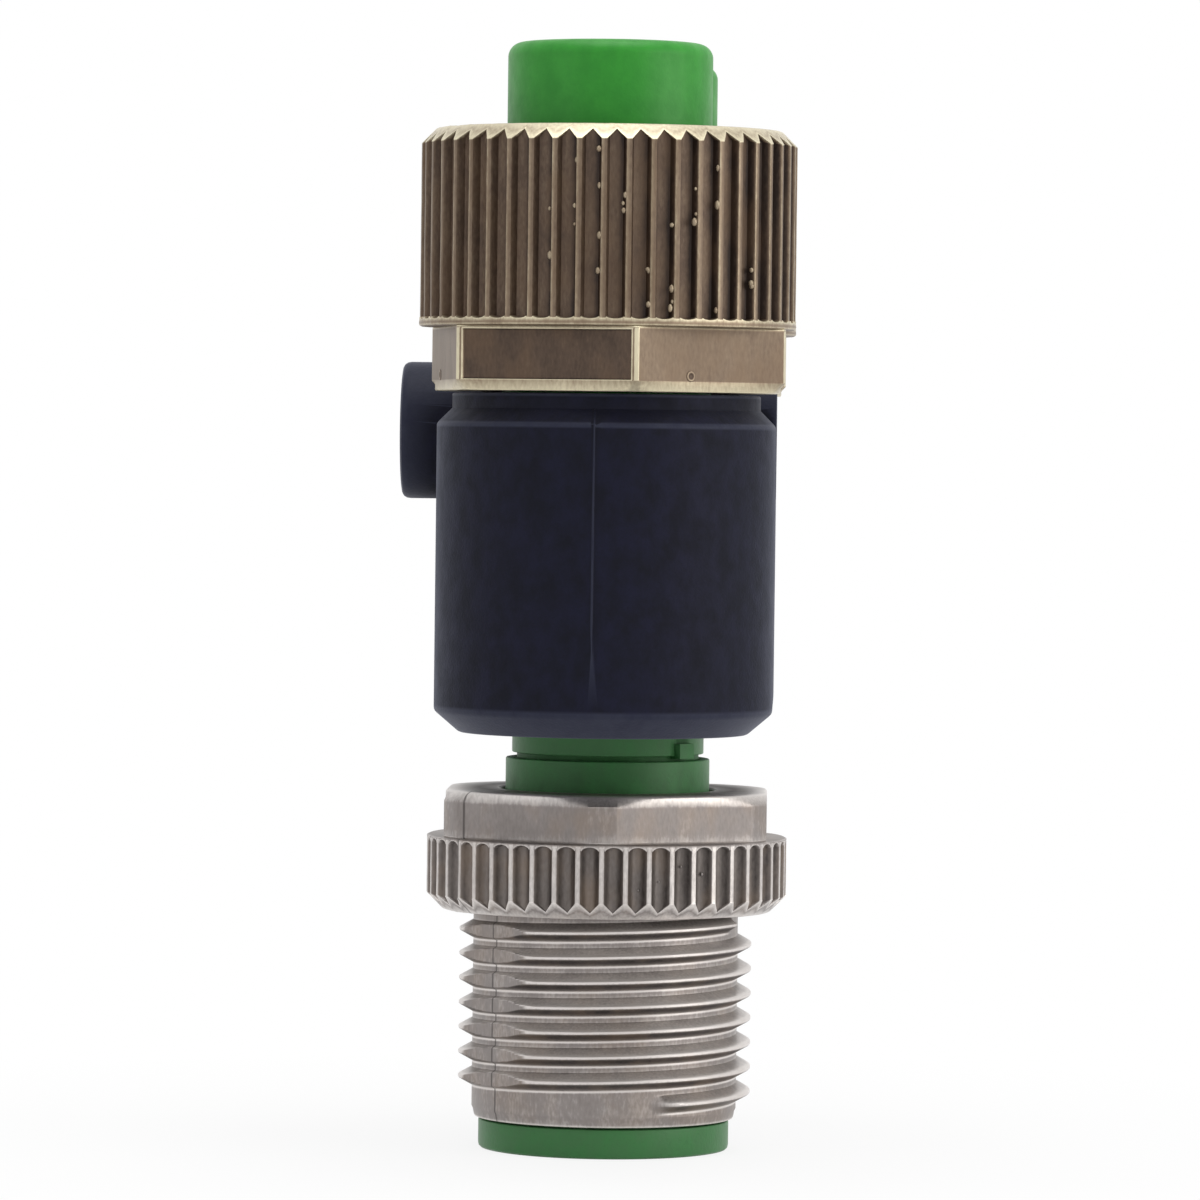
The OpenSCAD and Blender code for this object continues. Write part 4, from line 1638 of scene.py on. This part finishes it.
@dataclass
class Housing:
    """The overmoulded body with its seats and its fixing sleeve.

    Args:
        half_thick: Half of its thickness.
        lower_chamfer: Width and height of the lower chamfer.
        upper_chamfer: Width of the upper chamfer.
        seat_radius: Radius of the seats under the nuts.
        seat_height: Height of the seats.
        sleeve_radius: Radius of the fixing sleeve.
        hole_radius: Radius of the fixing hole.
        sleeve_drop: Depth of the sleeve's axis under the body's upper face.
        nut_gap: Height of the gap between a seat and its nut.
        nut_room: Radius of the room that a nut needs.
        seam_from: Lowest height of the mould seam on the front.
        seam_x: Place of the mould seam across the front.
    """

    half_thick: float = 6.7
    lower_chamfer: tuple[float, float] = (1.0, 0.85)
    upper_chamfer: float = 0.75
    seat_radius: float = 6.1
    seat_height: float = 0.45
    sleeve_radius: float = 2.775
    hole_radius: float = 1.3
    sleeve_drop: float = 1.04
    nut_gap: float = 0.08
    nut_room: float = 7.856
    seam_from: float = 20.3
    seam_x: float = -0.28

    NODE = "housing"
    ARC = 48
    SEGMENTS = 96

    def build(self, kit: Kit) -> None:
        """Make the housing in place of its solid.

        Args:
            kit: Materials and patterns.
        """
        bottom = low(self.NODE).z
        reach = low(self.NODE).x
        end_y = high(self.NODE).y - self.half_thick
        front_y = axis_y("front_nut")
        seat_z = low("front_nut").z - self.nut_gap
        top = seat_z - self.seat_height
        sleeve_z = top - self.sleeve_drop
        seat = lathe(rounded([(0, top - 0.3, 0), (self.seat_radius, top - 0.3, 0),
                              (self.seat_radius, seat_z - 0.16, 0), (self.seat_radius, seat_z, 0.1),
                              (self.seat_radius - 0.25, seat_z, 0), (0, seat_z, 0)]), self.SEGMENTS)
        room = rod(self.nut_room, seat_z + 0.002, seat_z + 6, 128)
        hole = rod(self.hole_radius, reach - 1, 8, self.SEGMENTS)
        body = joined("moulded_body", [self.block(bottom, top, end_y)])
        for y in (front_y, -front_y):
            combine(body, seat.moved((0, y, 0)), Cut.JOIN)
        combine(body, self.sleeve(reach, sleeve_z), Cut.JOIN)
        for y in (front_y, -front_y):
            combine(body, room.moved((0, y, 0)), Cut.REMOVE)
        combine(body, hole.turned(UP_TO_X).moved((0, 0, sleeve_z)), Cut.REMOVE)
        combine(body, self.seam(top, end_y), Cut.JOIN)
        mark_edges(body, 5)
        kit.deliver(body, Finish.BODY, 26, "coupler", self.NODE)

    def outline(self, radius: float, height: float, end_y: float) -> list[Point]:
        """Return a stadium round the two sockets at one height.

        Args:
            radius: Radius of the round ends.
            height: Height of the outline.
            end_y: Distance of a round end's axis from the middle.

        Returns:
            The outline's points in order.
        """
        points = []
        for side, first in ((end_y, 0), (-end_y, 180)):
            for k in range(self.ARC + 1):
                x, y, _ = polar(radius, first + 180 * k / self.ARC, height)
                points.append((x, y + side, height))
        return points

    def block(self, bottom: float, top: float, end_y: float) -> Shell:
        """Return the body without its seats and sleeve.

        Args:
            bottom: Height of the lower face.
            top: Height of the upper face.
            end_y: Distance of a round end's axis from the middle.

        Returns:
            The closed block.
        """
        width, rise = self.lower_chamfer
        thick, bevel = self.half_thick, self.upper_chamfer
        path = rounded([(0, bottom, 0), (thick - width, bottom, 0.12), (thick, bottom + rise, 0.16),
                        (thick, bottom + rise + 0.26, 0), (thick, top - bevel - 0.18, 0),
                        (thick, top - bevel, 0.16), (thick - bevel, top, 0.12), (0, top, 0)], steps=3)
        rows = path[1:-1]
        shell = Shell()
        for radius, height, wear in rows:
            ring = self.outline(radius, height, end_y)
            shell.points += ring
            shell.wear += [wear] * len(ring)
        size = 2 * (self.ARC + 1)
        for j in range(len(rows) - 1):
            for k in range(size):
                n = (k + 1) % size
                shell.faces.append((j * size + k, j * size + n, (j + 1) * size + n, (j + 1) * size + k))
        shell.faces.append(tuple(range(size)))
        shell.faces.append(tuple((len(rows) - 1) * size + k for k in range(size)))
        return shell

    def sleeve(self, reach: float, height: float) -> Shell:
        """Return the sleeve that crosses the body.

        Args:
            reach: Place of the sleeve's free end on the X axis.
            height: Height of its axis.

        Returns:
            The closed sleeve.
        """
        flank = self.half_thick + 0.02
        inner = self.hole_radius + 0.2
        path = rounded([(0, reach, 0), (inner, reach, 0), (inner + 0.4, reach, 0),
                        (self.sleeve_radius, reach, 0.35), (self.sleeve_radius, flank, 0.06),
                        (self.sleeve_radius - 0.2, flank, 0), (inner, flank, 0), (0, flank, 0)], steps=4)
        return lathe(path, self.SEGMENTS).turned(UP_TO_X).moved((0, 0, height))

    def seam(self, top: float, end_y: float) -> Shell:
        """Return the thin flash that the mould leaves on the front.

        Args:
            top: Height of the body's upper face.
            end_y: Distance of a round end's axis from the middle.

        Returns:
            The closed flash.
        """
        front = -end_y - self.half_thick
        steps = [(self.seam_from, 0.0), (self.seam_from + 1.5, 0.035),
                 (top - self.upper_chamfer - 0.2, 0.055), (top - self.upper_chamfer, 0.06)]
        rim = front + self.upper_chamfer
        shell = Shell()
        for z, y in [(z, front - proud) for z, proud in steps] + [(top - 0.02, rim - 0.03)]:
            base = (rim if z > top - 0.1 else front) + 0.05
            shell.points += [(self.seam_x - 0.12, base, z), (self.seam_x, y, z),
                             (self.seam_x + 0.09, base, z)]
        count = len(shell.points) // 3
        for j in range(count - 1):
            for a, b in ((0, 1), (1, 2), (2, 0)):
                shell.faces.append((3 * j + a, 3 * j + b, 3 * j + 3 + b, 3 * j + 3 + a))
        shell.faces += [(0, 1, 2), (3 * count - 3, 3 * count - 2, 3 * count - 1)]
        shell.wear = [0.6] * len(shell.points)
        return shell


@dataclass
class PlugCarrier:
    """The plug's green contact carrier, open at the tip.

    Args:
        tip_radius: Radius of the tip ring.
        tip_height: Height of the tip ring.
        tube_radius: Radius of the tube.
        cavity_radius: Radius of the contact cavity.
        cavity_depth: Depth of the contact cavity.
        neck_radius: Radius of the neck.
        neck_step: How far the upper neck is set back.
        upper_neck: Height of the upper neck outside the body.
        shoulder_depth: How far the tube's shoulder lies under the top of the screw.
        lug_angle: Direction of the small lug on the neck.
        key: Width and height of the coding key.
        segments: Facets round the axis.
    """

    tip_radius: float = 5.1
    tip_height: float = 1.2
    tube_radius: float = 4.75
    cavity_radius: float = 4.25
    cavity_depth: float = 9.2
    neck_radius: float = 4.15
    neck_step: float = 0.25
    upper_neck: float = 1.13
    shoulder_depth: float = 1.81
    lug_angle: float = FRONT + 52
    key: tuple[float, float] = (1.1, 0.45)
    segments: int = 128

    NODE = "male_carrier"

    def build(self, kit: Kit) -> None:
        """Make the carrier in place of its solid.

        Args:
            kit: Materials and patterns.
        """
        body_z = low("housing").z
        step_z = body_z - self.upper_neck
        shoulder = high("coupling_screw").z - self.shoulder_depth
        upper = self.neck_radius - self.neck_step
        hidden, ledge, inner = body_z + 1.9, step_z - 0.2, upper - 0.2
        path = rounded([
            (self.cavity_radius, 0, 0.15), (self.tip_radius, 0, 0.22),
            (self.tip_radius, self.tip_height, 0.08), (self.tube_radius, self.tip_height, 0),
            (self.tube_radius, shoulder, 0.1), (self.neck_radius, shoulder, 0),
            (self.neck_radius, ledge, 0.08), (inner, ledge, 0), (inner, step_z, 0), (upper, step_z, 0.06),
            (upper, hidden, 0), (0, hidden, 0), (0, self.cavity_depth, 0),
            (self.cavity_radius, self.cavity_depth, 0.1)])
        carrier = joined("plug_carrier", [lathe(path, self.segments)])
        width, tall = self.key
        coding_key = box_shell((-width / 2, self.cavity_radius - tall, 0.1),
                               (width / 2, self.cavity_radius + 0.1, self.cavity_depth + 0.1))
        lug = box_shell((upper - 0.4, -0.45, step_z - 0.1), (self.neck_radius, 0.45, step_z + 0.5))
        turn = Matrix.Rotation(math.radians(self.lug_angle), 3, "Z")
        combine(carrier, coding_key, Cut.JOIN)
        combine(carrier, lug.turned(turn), Cut.JOIN)
        mark_edges(carrier, 8)
        kit.deliver(carrier, Finish.CARRIER, 28, "coupler", self.NODE)


@dataclass
class SocketCarrier:
    """A socket's green contact insert with its flange, keyway and contact holes.

    Args:
        node: Solid that it stands for.
        name: Name of the piece.
        flange_node: Seal that lies on its flange.
        radius: Radius of the insert.
        edge: Rounding of the insert's face.
        flange_radius: Radius of the flange.
        flange_height: Height of the flange.
        neck_radius: Radius of the neck.
        groove: Depth of the seal's groove.
        key: Width and height of the coding key.
        contact_radius: Radius of a contact's hole.
        circle_radius: Radius of the contact circle.
        segments: Facets round the axis.
    """

    node: str
    name: str
    flange_node: str
    radius: float = 4.05
    edge: float = 0.58
    flange_radius: float = 5.1
    flange_height: float = 1.2
    neck_radius: float = 4.15
    groove: float = 0.25
    key: tuple[float, float] = (1.1, 0.55)
    contact_radius: float = 0.9
    circle_radius: float = 2.5
    segments: int = 128

    EDGE_STEPS = 12

    def build(self, kit: Kit) -> None:
        """Make the insert in place of its solid.

        Args:
            kit: Materials and patterns.
        """
        bottom, face, middle = low(self.node).z, high(self.node).z, axis_y(self.node)
        seat = low(self.flange_node).z - 0.03
        groove_top = seat + 1.11
        flange_low = seat - self.flange_height
        path = [(0, bottom, 0.2), (self.neck_radius, bottom, 0.3), (self.neck_radius, flange_low, 0.1),
                (self.flange_radius - 0.06, flange_low, 0.8), (self.flange_radius, flange_low + 0.06, 0.9),
                (self.flange_radius, seat - 0.08, 0.9), (self.flange_radius - 0.08, seat, 0.8),
                (self.radius - self.groove, seat, 0.1), (self.radius - self.groove, groove_top, 0.1),
                (self.radius - 0.05, groove_top, 0.6), (self.radius, groove_top + 0.05, 0.5),
                (self.radius, groove_top + 3, 0.3)]
        for k in range(self.EDGE_STEPS + 1):
            turn = math.radians(90 * k / self.EDGE_STEPS)
            path.append((self.radius - self.edge * (1 - math.cos(turn)),
                         face - self.edge * (1 - math.sin(turn)), 0.6))
        path += [(self.radius - self.edge - 0.2, face, 0.3), (0, face, 0.3)]
        insert = joined(self.name, [lathe(path, self.segments, closed_path=False)], (0, middle, 0))
        holes = Shell()
        wide = self.contact_radius + 0.14
        hole = lathe([(0, seat - 1, 0.2), (self.contact_radius, seat - 1, 0.2),
                      (self.contact_radius, face - 0.1, 0.3), (wide, face + 0.04, 0.5),
                      (wide, face + 1, 0.5), (0, face + 1, 0.5)], 40, closed_path=False)
        for k in range(4):
            holes.add(hole.moved(polar(self.circle_radius, 45 + 90 * k, 0)))
        combine(insert, holes.moved((0, middle, 0)), Cut.REMOVE)
        width, deep = self.key
        keyway = box_shell((-width / 2, middle + self.radius - deep, seat + 2.1),
                           (width / 2, middle + self.radius + 2, face + 1))
        combine(insert, keyway, Cut.REMOVE)
        mark_edges(insert, 9)
        kit.deliver(insert, Finish.INSERT, 28, "coupler", self.node)


@dataclass
class Contacts:
    """The four contacts of one connector face.

    Args:
        name: Name of the piece.
        prefix: Start of the names of the solids that they stand for.
        circle_radius: Radius of the contact circle.
        count: Number of contacts.
    """

    name: str
    prefix: str
    circle_radius: float = 2.5
    count: int = 4

    def build(self, kit: Kit) -> None:
        """Make the contacts in place of their solids.

        Args:
            kit: Materials and patterns.
        """
        nodes = [f"{self.prefix}_{k + 1}" for k in range(self.count)]
        bottom, top = low(nodes[0]).z, high(nodes[0]).z
        middle = sum(axis_y(node) for node in nodes) / self.count
        contact = self.socket(bottom, top) if "socket" in self.prefix else self.pin(bottom, top)
        placed = kit.circles.grow(contact, self.count, self.circle_radius, kit.materials[Finish.CONTACT])
        group = joined(self.name, [placed], (0, middle, 0))
        mark_edges(group, 14)
        kit.deliver(group, Finish.CONTACT, 32, "coupler", *nodes)

    def pin(self, bottom: float, top: float) -> Shell:
        """Return a pin with a rounded tip that points down.

        Args:
            bottom: Height of the pin's lower end.
            top: Height of its upper end.

        Returns:
            One pin on the Z axis.
        """
        radius, tip = 0.5, 0.42
        rows: list[Row] = []
        for k in range(9):
            turn = math.radians(90 * k / 8)
            rows.append((radius * math.sin(turn), bottom + tip * (1 - math.cos(turn)), 0.5))
        return lathe(rows + [(radius, top, 0.3), (0, top, 0.3)], 32, closed_path=False)

    def socket(self, bottom: float, top: float) -> Shell:
        """Return a slit socket contact that opens upwards.

        Args:
            bottom: Height of the socket's lower end.
            top: Height of its upper end.

        Returns:
            One socket contact on the Z axis.
        """
        bore, outer, tail, deep = 0.525, 0.885, 0.5, 6.2
        shoulder = top - 9.81
        shell = lathe([(0, bottom, 0.3), (tail, bottom, 0.3), (tail, shoulder, 0.3), (outer, shoulder, 0.5),
                       (outer, top - 0.08, 0.5), (outer - 0.08, top, 0.9), (bore + 0.14, top, 0.9),
                       (bore, top - 0.16, 0.6), (bore, top - deep, 0.1), (0, top - deep - 0.3, 0.1)],
                      40, closed_path=False)
        part = make_object("socket_part", make_mesh("socket_part", shell))
        combine(part, box_shell((-1, -0.1, top - 4), (1, 0.1, top + 1)), Cut.REMOVE)
        cut = to_shell(part.data)
        discard(part)
        return cut


@dataclass
class Seal:
    """The seal ring at the foot of an insert.

    Args:
        node: Solid that it stands for.
        name: Name of the piece.
    """

    node: str
    name: str

    def build(self, kit: Kit) -> None:
        """Make the seal in place of its solid.

        Args:
            kit: Materials and patterns.
        """
        lowest, highest = low(self.node), high(self.node)
        section = (highest.z - lowest.z) / 2
        middle = (highest.x - lowest.x) / 2 - section
        height = (lowest.z + highest.z) / 2
        circle = [polar(section, 15 * k, 0.0) for k in range(24)]
        rows = [(middle + x, height + z, PLAIN) for x, z, _ in circle]
        seal = joined(self.name, [lathe(rows, 96)], (0, axis_y(self.node), 0))
        kit.deliver(seal, Finish.SEAL, 60, "coupler", self.node)


class InnerParts:
    """The snap rings and conductors, whose solids stay and get their finish here."""

    GROUPS = {Finish.SPRING: ("screw_snap_ring", "front_snap_ring", "rear_snap_ring"),
              Finish.CONDUCTOR: ("conductor_1", "conductor_2", "conductor_3", "conductor_4")}

    def build(self, kit: Kit) -> None:
        """Give the solids their materials.

        Args:
            kit: Materials and patterns.
        """
        for finish, nodes in self.GROUPS.items():
            for node in nodes:
                dress(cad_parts[node], kit.materials[finish])
                LOG.info("%s: solid kept", node)


# ---------------------------------------------------------------- studio


@dataclass(frozen=True)
class Lamp:
    """A soft rectangular lamp that points at the object.

    Args:
        name: Name of the lamp.
        place: Position in millimetres.
        size: Width and height in millimetres.
        radiance: Brightness of its surface.
        colour: Colour of its light.
    """

    name: str
    place: Point
    size: tuple[float, float]
    radiance: float
    colour: Colour = (1.0, 1.0, 1.0)

    def light(self, target: Vector) -> None:
        """Add the lamp.

        Args:
            target: Point that it faces, in metres.
        """
        data = bpy.data.lights.new(self.name, "AREA")
        data.shape = "RECTANGLE"
        data.size, data.size_y = self.size[0] * MM, self.size[1] * MM
        data.energy = self.radiance * math.pi * data.size * data.size_y
        data.color = self.colour
        lamp = bpy.data.objects.new(self.name, data)
        bpy.context.scene.collection.objects.link(lamp)
        lamp.location = Vector(self.place) * MM
        lamp.rotation_euler = (target - lamp.location).to_track_quat("-Z", "Y").to_euler()


@dataclass
class Studio:
    """Camera, floor, lamps and white surroundings.

    Args:
        camera: Position of the camera in millimetres.
        target: Point that it faces in millimetres.
        roll: Turn of the camera about its axis in degrees.
        lens: Focal length for a sensor 36 mm wide.
        ambient: Light that comes from all round.
        floor_size: Width of the floor in millimetres.
        floor_drop: How far the floor lies under the object.
        floor_grey: Brightness of the floor where a shadow falls on it.
        glow_from: Distance from the object at which the floor begins to glow.
        glow_to: Distance at which it is white.
        glow_near: Share of the glow close to the object.
        lamps: The soft lamps.
    """

    camera: Point = (7.46, -287.9, 28.89)
    target: Point = (-0.391, 0.0, 22.33)
    roll: float = 0.696
    lens: float = 212.2
    ambient: float = 0.62
    floor_size: float = 6000.0
    floor_drop: float = 0.01
    floor_grey: float = 0.82
    glow_from: float = 14.0
    glow_to: float = 46.0
    glow_near: float = 0.86
    lamps: tuple[Lamp, ...] = (
        Lamp("right_lamp", (320, -120, 70), (280, 320), 2.4, (1.0, 0.98, 0.94)),
        Lamp("top_lamp", (10, -40, 360), (270, 270), 2.8),
        Lamp("left_lamp", (-300, -260, 120), (220, 260), 0.4, (0.93, 0.96, 1.0)),
    )

    def build(self) -> None:
        """Set up the whole studio."""
        view = bpy.context.scene.view_settings
        view.view_transform = "Standard"
        middle = Vector((0, 0, 22)) * MM
        for lamp in self.lamps:
            lamp.light(middle)
        self.aim()
        self.surround()
        self.lay_floor()

    def aim(self) -> None:
        """Add the camera."""
        data = bpy.data.cameras.new("camera")
        data.lens, data.sensor_width = self.lens, 36.0
        data.clip_start, data.clip_end = 0.01, 20.0
        camera = bpy.data.objects.new("camera", data)
        bpy.context.scene.collection.objects.link(camera)
        camera.location = Vector(self.camera) * MM
        aim = (Vector(self.target) - Vector(self.camera)).to_track_quat("-Z", "Y")
        roll = Matrix.Rotation(math.radians(self.roll), 3, "Z")
        camera.rotation_euler = (aim.to_matrix() @ roll).to_euler()
        bpy.context.scene.camera = camera

    def seen(self, g: Graph) -> bpy.types.NodeSocket:
        """Return 1 for rays that show a background: camera, glossy and transmission rays."""
        path = g.add("ShaderNodeLightPath").outputs
        both = g.math("MAXIMUM", path["Is Camera Ray"], path["Is Glossy Ray"])
        return g.math("MAXIMUM", both, path["Is Transmission Ray"])

    def surround(self) -> None:
        """Make the world white where it is seen and softer where it only lights."""
        world = bpy.data.worlds.new("surroundings")
        bpy.context.scene.world = world
        world.use_nodes = True
        world.node_tree.nodes.clear()
        g = Graph(world.node_tree)
        strength = g.add("ShaderNodeMapRange", {"Value": self.seen(g), "To Min": self.ambient,
                                                "To Max": 1.0})
        sky = g.add("ShaderNodeBackground", {"Color": (1.0, 1.0, 1.0), "Strength": strength.outputs[0]})
        g.add("ShaderNodeOutputWorld", {0: sky.outputs[0]})

    def lay_floor(self) -> None:
        """Add a pale floor that keeps a soft shadow."""
        half, level = self.floor_size / 2, -self.floor_drop
        corners = [(-half, -half, level), (half, -half, level), (half, half, level), (-half, half, level)]
        shell = Shell(corners, [(0, 1, 2, 3)], [0.0] * 4)
        floor = make_object("floor", make_mesh("floor", shell, outwards=False))
        material = bpy.data.materials.new("pale_floor")
        material.use_nodes = True
        material.node_tree.nodes.clear()
        g = Graph(material.node_tree)
        matt = g.add("ShaderNodeBsdfDiffuse", {"Color": (self.floor_grey,) * 3})
        glow = g.add("ShaderNodeEmission", {"Color": (1.0, 1.0, 1.0), "Strength": 1.0})
        place = g.add("ShaderNodeTexCoord").outputs["Object"]
        away = g.vector_math("LENGTH", place, output="Value")
        plain = g.add("ShaderNodeMapRange", {"Value": away, "From Min": self.glow_from * MM,
                                             "From Max": self.glow_to * MM, "To Min": self.glow_near})
        share = g.math("MULTIPLY", self.seen(g), plain.outputs[0])
        both = g.add("ShaderNodeMixShader", {0: share, 1: matt.outputs[0], 2: glow.outputs[0]})
        g.add("ShaderNodeOutputMaterial", {0: both.outputs[0]})
        dress(floor, material)


def main() -> None:
    """Build every sub-assembly in order and report each piece."""
    logging.basicConfig(level=logging.INFO, format="%(name)s: %(message)s")
    Studio().build()
    kit = Kit()
    screw_thread = Thread(low=1.7, high=9.74, crest=5.95, root=5.387, phase=2.40, start=-0.183, end=6.95,
                          ramp=0.02, flat=5.56, flat_angle=FRONT - 53)
    pieces: list[Piece] = [Housing(), PlugCarrier(), CouplingScrew(screw_thread)]
    for side, seed in (("front", 1.0), ("rear", 9.0)):
        pieces += [SocketCarrier(f"{side}_socket_carrier", f"{side}_insert", f"{side}_seal"),
                   Seal(f"{side}_seal", f"{side}_seal_ring"),
                   Contacts(f"{side}_contacts", f"{side}_socket"),
                   CouplingNut(f"{side}_nut", f"{side}_snap_ring", f"{side}_coupling_nut",
                               f"{side}_knurled_nut", seed=seed)]
    pieces += [Contacts("plug_pins", "male_pin"), InnerParts()]
    for piece in pieces:
        piece.build(kit)


if __name__ == "__main__":
    main()
